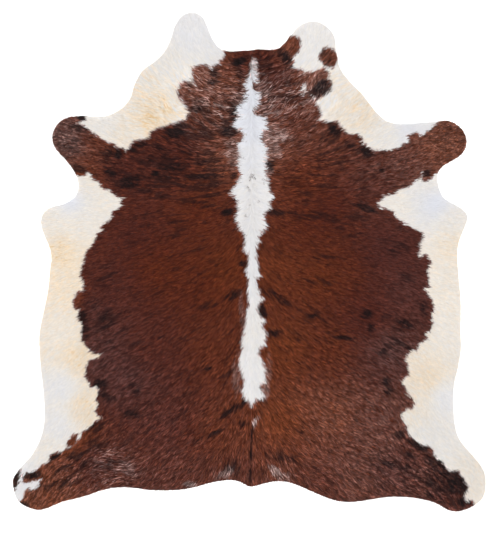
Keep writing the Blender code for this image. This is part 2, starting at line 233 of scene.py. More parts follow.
# Darker places in the brown: black-brown patches and streaks. Lean is the angle of the long half
# from the across axis, and depth is how dark and how whole the place is.
Patch = namedtuple("Patch", "across along half_long half_wide lean depth")
DARK_PATCHES = by_region(Patch, {
    "head": (
        (75, 853, 45, 32, 0, 0.45), (-45, 820, 14, 55, 0, 0.5), (160, 896, 48, 27, -52, 0.97),
        (110, 885, 60, 40, 0, 0.4), (335, 900, 26, 44, 20, 0.6), (145, 930, 20, 20, 0, 0.6),
        (322, 768, 54, 34, 25, 0.97), (275, 752, 22, 24, 0, 0.6),
    ),
    "neck": (
        (-48, 882, 38, 17, 25, 0.97), (-160, 817, 18, 30, -10, 0.75), (-165, 790, 32, 12, 15, 0.7),
        (-235, 670, 35, 15, 5, 0.7), (-180, 655, 35, 15, 15, 0.6), (-75, 650, 26, 46, 0, 0.92),
        (-85, 700, 75, 65, 0, 0.42), (-185, 605, 95, 105, 0, 0.5), (-105, 635, 40, 50, 0, 0.55),
        (-108, 612, 30, 22, 0, 0.75), (-86, 760, 40, 35, 0, 0.3), (170, 765, 30, 15, -20, 0.6),
        (180, 715, 25, 15, 0, 0.5), (160, 740, 80, 60, 0, 0.3), (95, 755, 38, 36, -10, 0.42),
    ),
    "withers": (
        (-95, 582, 50, 36, 0, 0.85), (-110, 560, 60, 50, 0, 0.35), (-205, 378, 105, 16, 3, 0.7),
        (-195, 300, 85, 18, 5, 0.5), (-190, 440, 80, 14, 3, 0.65), (-130, 600, 45, 28, 0, 0.6),
        (-72, 378, 22, 13, 60, 0.8), (95, 425, 25, 20, -30, 0.8), (105, 500, 20, 15, 0, 0.3),
    ),
    "shoulder": (
        (-341, 413, 75, 26, 0, 0.7), (-526, 352, 60, 30, 8, 0.75),
        (-325, 575, 60, 32, 22, 0.95), (-500, 508, 52, 18, 20, 0.75), (-578, 472, 16, 26, 0, 0.9),
        (-614, 391, 38, 16, -20, 0.75), (-330, 430, 250, 140, 0, 0.46),
        (-290, 440, 90, 60, 0, 0.28), (-328, 500, 60, 26, 8, 0.5), (-416, 391, 26, 13, 0, 0.85),
        (-438, 320, 65, 28, 5, 0.45), (-150, 340, 60, 10, 5, 0.55), (375, 580, 35, 25, -45, 0.8),
        (455, 510, 45, 20, -40, 0.7), (515, 485, 40, 20, -40, 0.9), (350, 545, 60, 42, -30, 0.45),
        (585, 402, 16, 10, 0, 0.9), (550, 420, 30, 50, 0, 0.4), (330, 400, 200, 120, 0, 0.24),
        (350, 490, 75, 60, 0, 0.34), (410, 440, 90, 20, -10, 0.4), (230, 215, 120, 12, -3, 0.5),
    ),
    "forelegs": (
        (-735, 635, 30, 15, -15, 0.9), (-745, 585, 42, 17, -15, 0.65), (-780, 495, 60, 40, 0, 0.22),
        (-755, 410, 35, 20, -20, 0.6), (-627, 484, 28, 16, 0, 0.6), (785, 395, 14, 24, -40, 0.8),
    ),
    "chest": (
        (520, 235, 60, 18, -25, 0.75),
    ),
    "stripe": (
        (-95, 220, 30, 15, 15, 0.85), (-160, 245, 45, 10, 0, 0.45), (-35, -10, 20, 15, 0, 0.9),
        (-50, 55, 15, 15, 0, 0.5), (125, 215, 50, 15, -5, 0.75), (255, 200, 90, 15, -5, 0.4),
    ),
    "ribs": (
        (-80, -155, 40, 20, 25, 0.75), (-165, -190, 55, 15, 15, 0.45), (-245, -95, 40, 10, 0, 0.35),
        (-380, 120, 220, 120, 0, 0.2), (-230, 265, 70, 14, 3, 0.5), (-370, -335, 105, 10, 0, 0.4),
        (470, 120, 55, 15, 0, 0.45), (470, 195, 75, 15, 8, 0.4), (492, 126, 20, 9, 0, 0.6),
        (490, 44, 18, 9, 0, 0.5), (330, 20, 60, 9, 0, 0.4), (300, -90, 90, 14, -5, 0.35),
        (270, -270, 140, 100, 0, 0.14), (120, -155, 65, 20, -32, 0.75),
        (58, -222, 20, 32, 15, 0.88), (110, -315, 35, 15, 0, 0.8), (185, -335, 55, 10, -10, 0.45),
        (280, -240, 20, 10, 10, 0.65), (420, -335, 45, 10, -5, 0.7),
    ),
    "flanks": (
        (-640, -60, 50, 60, 0, 0.35), (-735, -245, 20, 30, 0, 0.75), (-695, -190, 35, 25, 0, 0.5),
        (-630, -265, 40, 55, 0, 0.5), (-728, -308, 22, 36, -10, 0.75),
        (-622, -360, 30, 22, -20, 0.4), (-550, -315, 60, 70, 0, 0.35), (655, 62, 48, 44, 0, 0.42),
        (692, -58, 42, 26, -35, 0.42), (515, -230, 25, 20, 10, 0.85), (535, -290, 30, 20, 0, 0.65),
        (595, -250, 25, 20, 0, 0.5), (690, -275, 45, 25, 0, 0.75), (770, -205, 25, 30, 0, 0.65),
        (660, -365, 70, 35, 0, 0.4), (585, -395, 20, 15, 0, 0.75),
    ),
    "loins": (
        (-560, -470, 80, 110, 0, 0.14), (-185, -470, 20, 10, 15, 0.85),
        (-660, -540, 35, 30, -30, 0.75), (-615, -600, 60, 20, -25, 0.7),
        (-505, -560, 35, 25, -40, 0.55), (-530, -665, 60, 15, -20, 0.55),
        (-100, -495, 55, 10, 22, 0.55), (-220, -565, 115, 10, 15, 0.35),
        (200, -440, 45, 10, -10, 0.55), (605, -525, 20, 20, 0, 0.7), (610, -570, 20, 15, 0, 0.7),
    ),
    "croup": (
        (-80, -655, 66, 16, 32, 0.85), (-25, -620, 20, 10, 30, 0.9), (-155, -755, 50, 10, 25, 0.8),
        (-240, -790, 55, 10, 20, 0.5), (-280, -680, 80, 10, 15, 0.4), (-25, -715, 25, 15, 0, 0.7),
        (-670, -725, 40, 20, 20, 0.5), (660, -765, 30, 20, -30, 0.6),
        (150, -865, 105, 15, -8, 0.55), (220, -745, 80, 10, -12, 0.4),
    ),
    "hind legs": (
        (-765, -850, 55, 25, 25, 0.6), (-660, -885, 105, 25, 5, 0.4), (-825, -915, 60, 30, 20, 0.6),
        (-955, -938, 48, 15, 6, 0.97), (-1000, -1068, 26, 12, -20, 0.9),
        (-856, -858, 30, 13, 28, 0.9), (-825, -950, 62, 46, 30, 0.5),
        (-700, -815, 60, 30, 20, 0.45), (-1025, -960, 20, 55, 0, 0.95),
        (-880, -985, 40, 18, 25, 0.55), (740, -810, 55, 20, -25, 0.8),
        (840, -905, 95, 42, -38, 0.7), (840, -960, 140, 70, -35, 0.5),
        (850, -1045, 95, 22, -22, 0.55), (925, -985, 60, 45, -20, 0.92),
        (605, -890, 40, 14, 10, 0.6), (700, -855, 45, 22, 10, 0.6), (690, -905, 30, 12, 0, 0.6),
        (625, -885, 60, 30, 0, 0.2), (945, -1055, 35, 25, 0, 0.9),
    ),
    "rump": (
        (-70, -910, 40, 30, 0, 0.55), (6, -850, 120, 6, 88, 0.95),
    ),
})

# How the hair lies. Turn is its angle from straight outward, positive towards the head; length and
# wave are the lock's length and how much it curls, and grain is the contrast between locks, which in
# wavy hair also paints highlights and the shade between curls. The first table holds for both
# sides, where across is outward; the others are for one side only.
Lie = namedtuple("Lie", "across along turn length wave grain")
LIES = by_region(Lie, {
    "head": (
        (60, 915, 38, 14, 0.2, 1.6), (60, 860, 12, 24, 0.5, 2.2), (250, 1000, 78, 15, 0.2, 1.5),
        (370, 930, 60, 15, 0.3, 1.5),
    ),
    "neck": (
        (70, 720, 4, 34, 0.9, 2.9), (170, 720, 28, 36, 1.0, 2.9), (260, 770, 50, 34, 0.9, 2.7),
        (330, 690, 45, 28, 0.7, 2.0), (430, 770, 40, 20, 0.6, 1.8), (480, 640, 25, 18, 0.5, 1.6),
    ),
    "withers": (
        (70, 560, 0, 30, 0.6, 2.4), (220, 540, 22, 30, 0.5, 2.0),
    ),
    "shoulder": (
        (380, 540, 28, 24, 0.3, 1.8), (70, 420, -3, 24, 0.3, 1.8), (280, 400, 2, 23, 0.2, 1.5),
        (480, 430, 12, 20, 0.2, 1.4),
    ),
    "forelegs": (
        (620, 460, 14, 15, 0.2, 1.6), (850, 540, 8, 9, 0.1, 1.8),
    ),
    "chest": (
        (600, 580, 28, 17, 0.3, 1.3), (760, 290, 5, 13, 0.2, 1.0),
    ),
    "ribs": (
        (70, 260, -20, 23, 0.2, 1.2), (280, 240, -8, 22, 0.1, 0.9), (520, 220, -8, 19, 0.1, 1.0),
        (40, 60, -52, 22, 0.1, 0.9), (220, 50, -20, 22, 0.1, 0.8), (500, 40, -14, 20, 0.1, 0.9),
    ),
    "flanks": (
        (860, 180, -10, 14, 0.2, 1.2), (720, 30, -16, 19, 0.1, 1.1), (800, -220, -26, 17, 0.2, 1.2),
        (800, -480, -40, 14, 0.2, 1.1),
    ),
    "loins": (
        (40, -220, -60, 22, 0.1, 1.0), (220, -220, -32, 22, 0.1, 0.9),
        (480, -220, -24, 20, 0.1, 1.1), (760, -700, -55, 13, 0.2, 1.2),
    ),
    "croup": (
        (40, -480, -62, 24, 0.1, 1.3), (220, -480, -38, 22, 0.1, 1.4),
        (480, -480, -30, 20, 0.1, 1.4), (40, -740, -66, 25, 0.2, 1.6),
        (200, -740, -40, 24, 0.2, 1.7), (460, -740, -34, 22, 0.3, 1.8),
    ),
    "rump": (
        (14, -900, -84, 28, 0.3, 1.8), (100, -930, -70, 30, 0.5, 2.2),
        (300, -920, -42, 26, 0.4, 2.0),
    ),
})
LEFT_LIES = by_region(Lie, {
    "hind legs": (
        (600, -900, -8, 26, 0.7, 2.6), (780, -950, -25, 19, 0.5, 2.5),
        (960, -1030, -55, 12, 0.2, 1.8),
    ),
})
RIGHT_LIES = by_region(Lie, {
    "hind legs": (
        (560, -900, -34, 24, 0.4, 2.4), (760, -960, -36, 18, 0.4, 2.9),
        (960, -1030, -50, 12, 0.2, 1.8),
    ),
})

# The brown from 0, plum, to 1, chestnut. Frost is the share of white in it.
Brown = namedtuple("Brown", "across along level frost")
BROWN_WARMTHS = by_region(Brown, {
    "head": (
        (0, 890, 0.28, 0.0), (268, 818, 0.95, 0.05), (190, 965, 0.85, 0.03),
    ),
    "neck": (
        (-215, 790, 0.72, 0.02), (220, 690, 0.52, 0.006), (285, 700, 0.8, 0.045),
        (-103, 800, 0.85, 0.02), (-215, 830, 0.8, 0.045), (135, 820, 0.3, 0.008),
    ),
    "withers": (
        (-75, 470, 0.85, 0.03), (85, 500, 0.85, 0.042),
    ),
    "shoulder": (
        (-330, 490, 0.3, 0.001), (220, 360, 0.6, 0.002), (575, 315, 0.35, 0.008),
    ),
    "forelegs": (
        (-550, 400, 0.22, 0.001), (840, 515, 0.95, 0.05), (680, 420, 0.58, 0.05),
        (610, 350, 0.52, 0.05), (-800, 515, 0.5, 0.112), (-670, 540, 0.65, 0.015),
        (-755, 400, 0.8, 0.01),
    ),
    "chest": (
        (-570, 205, 0.4, 0.006),
    ),
    "ribs": (
        (-220, 230, 0.52, 0.0), (-520, 150, 0.24, 0.0), (350, 225, 0.36, 0.0), (250, 150, 0.5, 0.0),
        (-130, -35, 0.72, 0.0), (-190, -60, 0.5, 0.0), (-395, -35, 0.52, 0.0),
        (-635, -125, 0.2, 0.003), (135, -35, 0.72, 0.002), (330, -60, 0.68, 0.0),
        (400, -35, 0.55, 0.004), (705, -125, 0.12, 0.013),
    ),
    "flanks": (
        (-705, -215, 0.0, 0.016), (610, 60, 0.05, 0.0), (535, -250, 0.22, 0.0),
        (-775, -185, 0.95, 0.01),
    ),
    "loins": (
        (-150, -390, 0.6, 0.006), (-440, -390, 0.35, 0.008), (-660, -390, 0.0, 0.02),
        (-540, -510, 0.0, 0.018), (155, -390, 0.82, 0.002), (355, -390, 0.6, 0.004),
        (620, -390, 0.18, 0.038),
    ),
    "croup": (
        (-110, -740, 0.65, 0.012), (-395, -700, 0.28, 0.014), (135, -700, 0.98, 0.006),
        (355, -680, 0.88, 0.042), (595, -690, 0.54, 0.052), (560, -830, 0.66, 0.055),
    ),
    "hind legs": (
        (-700, -890, 0.35, 0.012), (-965, -1050, 1.0, 0.04), (-870, -1040, 0.95, 0.03),
        (620, -900, 0.3, 0.026), (925, -1050, 0.35, 0.02), (-790, -790, 0.9, 0.01),
    ),
    "rump": (
        (0, -960, 0.5, 0.025), (90, -915, 0.68, 0.018), (-350, -960, 0.45, 0.022),
        (310, -1005, 0.5, 0.018), (480, -940, 0.62, 0.046),
    ),
})

# The white from 0, bluish, to 1, cream.
Warmth = namedtuple("Warmth", "across along level")
WHITE_WARMTHS = by_region(Warmth, {
    "head": (
        (-260, 1000, 0.2), (290, 1000, 0.3),
    ),
    "neck": (
        (-370, 870, 0.38), (-415, 780, 0.6), (-440, 650, 0.95), (420, 780, 0.5), (500, 650, 0.72),
    ),
    "chest": (
        (-560, 590, 0.62), (-630, 615, 0.35), (600, 570, 0.42), (690, 585, 0.12), (-790, 268, 0.0),
        (-720, 350, 0.5), (-660, 280, 0.5), (820, 262, 0.0), (790, 350, 0.35), (650, 260, 0.45),
    ),
    "stripe": (
        (15, 720, 0.05), (0, 590, 0.05), (10, 440, 0.15), (20, 340, 0.25), (15, 0, 0.2),
        (15, -560, 0.25),
    ),
    "ribs": (
        (-830, 50, 0.98), (900, 80, 0.72),
    ),
    "flanks": (
        (-880, 180, 0.5), (-770, 160, 0.5), (-820, -120, 0.8), (-860, -300, 0.6), (-740, -430, 0.9),
        (900, 180, 0.4), (880, -120, 0.55), (890, -340, 0.5), (790, -520, 0.82),
    ),
    "loins": (
        (-830, -560, 0.22), (-850, -720, 0.25), (-730, -640, 0.85), (860, -600, 0.18),
        (740, -620, 0.6),
    ),
    "hind legs": (
        (-880, -830, 0.45), (-990, -980, 0.2), (820, -780, 0.35), (1010, -950, 0.52),
    ),
})

# ---------------------------------------------------------------- sizes
# A pair named SPAN is where smoothstep starts and ends. Any other pair in this section is
# for grown: a number at its least, and what a full amount of wave, a draw or another share adds.
SPINE_ACROSS = 8 * MM  # where the hair parts

# The skin.
SKIN_THICKNESS = 2.5 * MM
LEAST_NAP = 1.0 * MM  # depth of the lying hair
UNDERCOAT_SHARE = 0.35  # of the hair's depth that the skin's painted top rises into
SAME_PLACE = 0.01 * MM  # within this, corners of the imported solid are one, or lie on the floor
RAY_START = 1.0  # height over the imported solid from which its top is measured
RIM_STEPS = 3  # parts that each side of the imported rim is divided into
# The cut edge of the skin from the floor up: how far inside the rim and how high it runs.
CUT_EDGE = (
    (1.0 * MM, 0.0), (0.1 * MM, 0.7 * MM), (0.0, 1.5 * MM), (0.4 * MM, 2.3 * MM), (2.0 * MM, 2.7 * MM)
)
HAIRLESS_BANDS = 2  # of the cut edge, counted from the floor
TOP_INSET = 2 * CUT_EDGE[-1][0]  # from the rim to the skin's top
TOP_SPACING = 10 * MM
UNDERSIDE_SPACING = 30 * MM
RIM_CLEARANCE = 5 * MM
INSIDE_ONLY = 1  # asks for the triangles within the border alone
UNDERCOAT_SPAN = (-2 * MM, 6 * MM)  # into the brown, from white undercoat to brown undercoat
UNDERCOAT_SLOT = 1

# The grid.
GRID_CELL = 3 * MM
GRID_MARGIN = 60 * MM
LAST_READ = 1.001  # cells before the grid's end up to which it is read
FAR = 60 * MM  # distances to an outline are kept up to this
TOP_STEP = 2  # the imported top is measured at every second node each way

# Noise on the grid: the size of its cells, how far it is drawn along the hair, and its seed.
Noise = namedtuple("Noise", "cell reach seed")
STREAKS = Noise(6.5 * MM, 30 * MM, 13)
MOTTLE = Noise(60 * MM, 0, 14)
STRANDS = Noise(5 * MM, 10 * MM, 15)
CURLS = Noise(6 * MM, 26 * MM, 16)
SWIRLS = Noise(65 * MM, 0, 17)
CLUMPS = Noise(28 * MM, 0, 18)
ROUGH = Noise(13 * MM, 0, 19)
NOISE_SLANT = 28  # degrees from the grid to the noise's lattice
STREAK_SPREAD = 2.2  # standard deviations from the mean of drawn noise to its end values

# How the tables are blended into fields.
NEARNESS_POWER = -1.5  # of the squared distance, by which the rows of a table are weighed
LIE_SOFTNESS = 30 * MM
BROWN_SOFTNESS = 60 * MM
WHITE_SOFTNESS = 40 * MM
SWIRL_TURN = 34  # degrees that the hair turns to either side of its lie where it is wavy
PARTING_REACH = 25 * MM  # to either side of the spine, over which the hair turns outward
PARTING_BACK = -0.3  # on the parting, the hair runs at least this much towards the tail
CURLY_SPAN = (0.2, 0.6)  # of wave, from fine strands to curls
BROWN_GROWTH = 2.5 * MM  # how far the brown lies past its charted edge
STRIPE_TRIM = -1 * MM  # how far the brown lies over the stripe's charted edge
ROAN_EDGE_SPAN = (-0.45, 0.45)
ROAN_ROUGHNESS = 1.2
WISP_WIDTH = 5  # of the long pale strands, half of it, in millimetres
WISP_END = 0.35  # their width at the ends, as a share
WISP_PLACES = 14  # ellipses that make up a strand
WISP_OVERLAP = 1.6  # length of such an ellipse over its width
WISP_EDGE_SPAN = (0, 0.6)
DARK_EDGE_SPAN = (-0.7, 0.6)
DARK_MOTTLE = 0.20
DARK_STREAKS = 1.1
DARK_ROUGHNESS = 0.6
DARK_SPAN = (0.22, 0.62)
DARK_FAINT = (0.45, 0.55)

# The locks.
LOCK_SEED = 11
TUFT_SEED = 12
# What each lock draws, evenly from 0 to 1 or about a mean of 0, and what each tuft draws evenly. The
# spare draw isn't used.
EVEN_DRAWS = ("length", "spare", "dark", "tone", "frost", "width", "roll", "on_top")
NORMAL_DRAWS = ("turn", "edge", "warmth")
TUFT_DRAWS = ("turn", "shape", "colour")
LOCK_SPACING = 3.55 * MM
ROOT_CLEARANCE = 0.6 * MM
OVERHANG = 3.0 * MM  # how far a lock may reach past the rim
SHORTEST_TRIM = 0.15  # the least of its length that a lock keeps at the rim
TUFT_CELL, TUFT_STRETCH = 6.5 * MM, 3
CURL_CELL, CURL_STRETCH = 7.5 * MM, 6
CURLY = 0.4  # the wave above which the larger tufts are used
TUFT_TURN = (12, 26)  # degrees, by wave
LOCK_TURN = (5, 5)  # degrees, by wave
LENGTHS = (0.7, 0.45)
TUFT_LENGTHS = 0.2
TUFT_BEND = (0.15, 0.7)
LOCK_BEND = 0.12
GATHER = (0.22, 0.4)  # how far the tips of a tuft come together, by wave
LOCK_WIDTH = 2.6 * MM
WIDTHS = (0.8, 0.5)
LOCK_ROLL = 22  # degrees to either side
LIFTS = (0.85, 0.3)
WAVY_LIFT = 0.35
LONG_LOCK = 28 * MM  # longer ones get one more section
SHORT_SECTIONS = ((0.0, 0.75, 0.10), (0.5, 1.0, 0.85), (1.0, 0.0, 1.0))  # place, width and rise
LONG_SECTIONS = ((0.0, 0.7, 0.10), (0.33, 1.0, 0.75), (0.68, 0.8, 1.0), (1.0, 0.0, 0.95))
ROOT_DEPTH = 0.1  # of the hair's depth, that the lowest roots lie under the undercoat
CELL_MARGIN = 0.12  # of a lock's cell in the texture map

# The pigment of the locks.
SEEN = 0.7  # where along a lock its colour shows most, since the tips lie over the next roots
WAVY_SPAN = (0.25, 0.85)
SPINE_SPAN = (60 * MM, 130 * MM)
STRAND_RAG = 12 * MM  # how far strands, tufts and locks move the edge of the brown
TUFT_RAG = (3 * MM, 6 * MM)
LOCK_RAG = 2.5 * MM
EDGE_BLUR = (4 * MM, 3 * MM)  # by nearness to the spine
DARKS = (0.75, 0.5)
ROAN_ON_TOP = 2.2
ROAN_TOP_SPAN = (0.35, 0.95)
ROAN_STRANDS = 0.4
ROAN_BROWN = 0.75  # the most brown that roan gives to a white lock
FROSTS = (0.4, 1.2)
FROST_STRANDS = 1.2
PALE_STRANDS_AND_HIGHLIGHTS = 0.16  # the share of white in the palest strands of wavy brown hair, on the locks lying on top: pale tips and painted highlights
PALE_TOP_SPAN = (0.55, 1.0)
PALE_TUFT_SPAN = (0.3, 0.9)
WISP_FROSTS = (0.6, 0.4)
DARK_UNFROSTED = 0.9  # of its frost, that a wholly dark lock loses
MOST_FROST = 0.7
MIXED = 0.3  # the brown share above which a lock is brown with frost in it, and below which it is white
BROWN_WARMTH_SPREAD = 0.10
GOLDEN_BY_WAVE = (0.2, 1)
GOLDEN_TUFTS = 0.9
GOLDEN_STRANDS = 0.9
GOLDEN_LOCKS = 0.15
WHITE_WARMTH = 0.85
WHITE_GRAIN = 0.22  # contrast between white locks, where that between brown ones is about 1 to 3
WHITE_GRAIN_BY_WARMTH = (0.4, 1.2)
WHITE_GRAIN_BY_WAVE = (0.45, 0.8)
SHARED_TONE = (1, -0.4)  # of a lock's tone, with its tuft and strand
OWN_TONE = (1, -0.6)
TONE_TUFTS = 0.6
TONE_STRANDS = 0.5
TONE_BALANCE = 0.04  # keeps the mean tone of the locks near 1 where they differ much
GLINT_FROM = 1.3  # the tone above which a wavy brown lock's painted highlight turns pale grey instead of glowing
GLINT_DIMMED = 0.55
GLINT_FROST = 0.04
FLECK_BROWN = 0.5
FLECK_LENGTH = 8 * MM
FLECK_LIFT = 1.2

# The coat's pieces: each takes the locks whose roots lie in its box, in millimetres.
Area = namedtuple("Area", "piece left right tail head")
COAT_AREAS = (
    Area("coat_neck_left", -1200, 8, 500, 1200),
    Area("coat_neck_right", 8, 1200, 500, 1200),
    Area("coat_left_side", -1200, 8, -260, 500),
    Area("coat_right_side", 8, 1200, -260, 500),
    Area("coat_left_rump", -1200, 8, -1200, -260),
    Area("coat_right_rump", 8, 1200, -1200, -260),
)

# ---------------------------------------------------------------- numbers on an even grid
LOW, HIGH = (np.array(corner)[:2] for corner in CAD_BOX)
GRID_X = np.arange(LOW[0] - GRID_MARGIN, HIGH[0] + GRID_MARGIN, GRID_CELL)
GRID_Y = np.arange(LOW[1] - GRID_MARGIN, HIGH[1] + GRID_MARGIN, GRID_CELL)
GRID_SHAPE = (len(GRID_Y), len(GRID_X))


def read(values, x, y):
    """The grid's values at any points, straight between its nodes."""
    column = np.clip((x - GRID_X[0]) / GRID_CELL, 0, GRID_SHAPE[1] - LAST_READ)
    row = np.clip((y - GRID_Y[0]) / GRID_CELL, 0, GRID_SHAPE[0] - LAST_READ)
    j, i = column.astype(int), row.astype(int)
    return between_corners(values, i, j, column - j, row - i)


def between_corners(values, i, j, right, up):
    """The values between the four corners of a cell, at a share of it to the right and up."""
    lower = values[i, j] * (1 - right) + values[i, j + 1] * right
    upper = values[i + 1, j] * (1 - right) + values[i + 1, j + 1] * right
    return lower * (1 - up) + upper * up


def smoothstep(low, high, value):
    """From 0 at the low value to 1 at the high one, level at both ends."""
    share = np.clip((value - low) / (high - low), 0, 1)
    return share * share * (3 - 2 * share)


def grown(pair, amount):
    """A number from its least value and what a full amount adds to it."""
    least, added = pair
    return least + added * amount


def window(centre_x, centre_y, reach):
    """The part of the grid within reach of a place, as rows and columns, with its x and y."""
    rows = slice(*np.searchsorted(GRID_Y, (centre_y - reach, centre_y + reach)))
    columns = slice(*np.searchsorted(GRID_X, (centre_x - reach, centre_x + reach)))
    return (rows, columns), GRID_X[None, columns], GRID_Y[rows, None]


def signed_distance(outline):
    """Distance to a closed outline from each grid node, above zero inside, at most FAR."""
    near = np.full(GRID_SHAPE, FAR)
    inside = np.zeros(GRID_SHAPE, bool)
    for (x0, y0), (x1, y1) in zip(outline, np.roll(outline, -1, axis=0)):
        length = math.hypot(x1 - x0, y1 - y0) + TINY
        part, x, y = window((x0 + x1) / 2, (y0 + y1) / 2, length / 2 + FAR)
        step_x, step_y = (x1 - x0) / length, (y1 - y0) / length
        along = np.clip((x - x0) * step_x + (y - y0) * step_y, 0, length)
        gap = np.hypot(x - x0 - along * step_x, y - y0 - along * step_y)
        near[part] = np.minimum(near[part], gap)
        if y0 != y1:
            rows = slice(*np.searchsorted(GRID_Y, sorted((y0, y1))))
            crossing = x0 + (GRID_Y[rows] - y0) * (x1 - x0) / (y1 - y0)
            inside[rows] ^= GRID_X[None, :] > crossing[:, None]
    return np.where(inside, near, -near)


def ellipse(across, along, half_x, half_y, lean):
    """How deep each grid node near an ellipse lies in it: 1 in the middle, 0 at the rim, in millimetres."""
    part, x, y = window(across * MM, along * MM, 2 * max(half_x, half_y) * MM)
    turn = math.radians(lean)
    x, y = x / MM - across, y / MM - along
    u = (x * math.cos(turn) + y * math.sin(turn)) / half_x
    v = (y * math.cos(turn) - x * math.sin(turn)) / half_y
    return part, 1 - np.hypot(u, v)


def value_noise(noise):
    """Random values from 0 to 1 on a slanting lattice, smoothed onto the grid."""
    x, y = np.meshgrid(GRID_X, GRID_Y)
    slant = math.radians(NOISE_SLANT)
    u = (x * math.cos(slant) + y * math.sin(slant)) / noise.cell
    v = (y * math.cos(slant) - x * math.sin(slant)) / noise.cell
    j, i = np.floor(u).astype(int), np.floor(v).astype(int)
    right, up = smoothstep(0, 1, u - j), smoothstep(0, 1, v - i)
    j, i = j - j.min(), i - i.min()
    lattice = np.random.default_rng(noise.seed).random((i.max() + 2, j.max() + 2))
    return between_corners(lattice, i, j, right, up)


def drawn_noise(noise, heading):
    """Noise averaged along the hair, so that its spots become streaks, then set from 0 to 1."""
    values = value_noise(noise)
    total, count = values.copy(), 1
    step = 2 * GRID_CELL
    for sense in (step, -step):
        x, y = np.meshgrid(GRID_X, GRID_Y)
        for _ in range(int(noise.reach / step)):
            angle_x, angle_y = read(heading[0], x, y), read(heading[1], x, y)
            x, y = x + sense * angle_x, y + sense * angle_y
            total += read(values, x, y)
            count += 1
    total /= count
    spread = STREAK_SPREAD * total.std()
    return np.clip(0.5 + (total - total.mean()) / (2 * spread), 0, 1)


def blended(rows, x, y, softness, *columns):
    """Each named column of the rows at the points, weighed by nearness."""
    places = np.array([(row.across, row.along) for row in rows]) * MM
    values = np.array([[getattr(row, column) for column in columns] for row in rows], float)
    total, weights = np.zeros((len(columns),) + x.shape), np.zeros(x.shape)
    for (place_x, place_y), value in zip(places, values):
        weight = ((x - place_x) ** 2 + (y - place_y) ** 2 + softness**2) ** NEARNESS_POWER
        weights += weight
        total += value.reshape((-1,) + (1,) * x.ndim) * weight
    return total / weights


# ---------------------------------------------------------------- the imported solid
def packed_rim():
    """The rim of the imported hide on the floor, in order, anticlockwise."""
    solid = bmesh.new()
    solid.from_mesh(SOLID.data)
    bmesh.ops.remove_doubles(solid, verts=solid.verts, dist=SAME_PLACE)
    bottom = {f for f in solid.faces if max(v.co.z for v in f.verts) < SAME_PLACE}
    after = {}
    for face in bottom:
        for loop in face.loops:
            if sum(other in bottom for other in loop.edge.link_faces) == 1:
                after[loop.link_loop_next.vert] = loop.vert
    start = vert = next(iter(after))
    ring = []
    while not ring or vert is not start:
        ring.append(vert.co[:2])
        vert = after[vert]
    solid.free()
    return np.array(ring)


def finer(ring, parts):
    """The closed ring with each side divided along a smooth curve through its points."""
    before, after, beyond = (np.roll(ring, n, axis=0)[:, None] for n in (1, -1, -2))
    here = ring[:, None]
    t = (np.arange(parts) / parts)[None, :, None]
    square = 2 * before - 5 * here + 4 * after - beyond
    cube = 3 * here - before - 3 * after + beyond
    return (here + 0.5 * ((after - before) * t + square * t**2 + cube * t**3)).reshape(-1, 2)


def inset(ring, distance):
    """The ring moved inwards."""
    ahead = np.roll(ring, -1, axis=0) - np.roll(ring, 1, axis=0)
    inward = np.stack((-ahead[:, 1], ahead[:, 0]), axis=1)
    return ring + inward * (distance / np.linalg.norm(inward, axis=1, keepdims=True))


def packed_top():
    """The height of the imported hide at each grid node, and zero outside it."""
    solid = bmesh.new()
    solid.from_mesh(SOLID.data)
    tree = BVHTree.FromBMesh(solid)
    solid.free()
    top = np.zeros(GRID_SHAPE)
    above, down = CAD_BOX[1].z + RAY_START, Vector((0, 0, -1))
    for i in range(0, GRID_SHAPE[0], TOP_STEP):
        for j in range(0, GRID_SHAPE[1], TOP_STEP):
            hit = tree.ray_cast(Vector((GRID_X[j], GRID_Y[i], above)), down)[0]
            top[i : i + TOP_STEP, j : j + TOP_STEP] = hit.z if hit else 0
    return top


# ---------------------------------------------------------------- the coat's fields
def lie_of_hair():
    """The hair's heading as x and y, its length, its wave and its grain, on the grid."""
    x, y = np.meshgrid(GRID_X, GRID_Y)
    made = []
    for own, sense in ((LEFT_LIES, -1), (RIGHT_LIES, 1)):
        columns = ("turn", "length", "wave", "grain")
        made.append(blended(LIES + own, sense * (x - SPINE_ACROSS), y, LIE_SOFTNESS, *columns))
    turn, length, wave, grain = np.where(x < SPINE_ACROSS, made[0], made[1])
    turn += SWIRL_TURN * wave * (2 * value_noise(SWIRLS) - 1)
    turn = np.radians(turn)
    outward = np.clip((x - SPINE_ACROSS) / PARTING_REACH, -1, 1)
    ahead = np.minimum(np.sin(turn), PARTING_BACK)
    parting = 1 - np.abs(outward)
    heading_x = np.cos(turn) * outward
    heading_y = np.sin(turn) * (1 - parting) + ahead * parting
    size = np.hypot(heading_x, heading_y) + TINY
    return (heading_x / size, heading_y / size), length * MM, wave, grain


def spots(rows):
    """Signed depth of the spots in metres, above zero inside them."""
    depth = np.full(GRID_SHAPE, -FAR)
    for row in rows:
        part, inside = ellipse(row.across, row.along, row.half_width, row.half_length, row.lean)
        size = min(row.half_width, row.half_length) * MM
        depth[part] = np.maximum(depth[part], np.clip(inside * size, -FAR, FAR))
    return depth


def brown_depth():
    """Signed distance into the brown in metres, with the stripe and the white spots taken out."""
    brown = BROWN_GROWTH + signed_distance(np.array(BROWN_EDGE) * MM)
    brown = np.minimum(brown, STRIPE_TRIM - signed_distance(np.array(STRIPE_EDGE) * MM))
    brown = np.maximum(brown, spots(BROWN_SPOTS))
    return np.minimum(brown, -spots(WHITE_SPOTS))


def roan_share(rough):
    """The share of hairs of the other colour, in patches with rough edges."""
    share = np.zeros(GRID_SHAPE)
    for row in ROAN_PATCHES:
        part, inside = ellipse(row.across, row.along, row.half_width, row.half_length, row.lean)
        inside = smoothstep(*ROAN_EDGE_SPAN, inside + ROAN_ROUGHNESS * (rough[part] - 0.5))
        share[part] = np.maximum(share[part], row.share * inside)
    return share


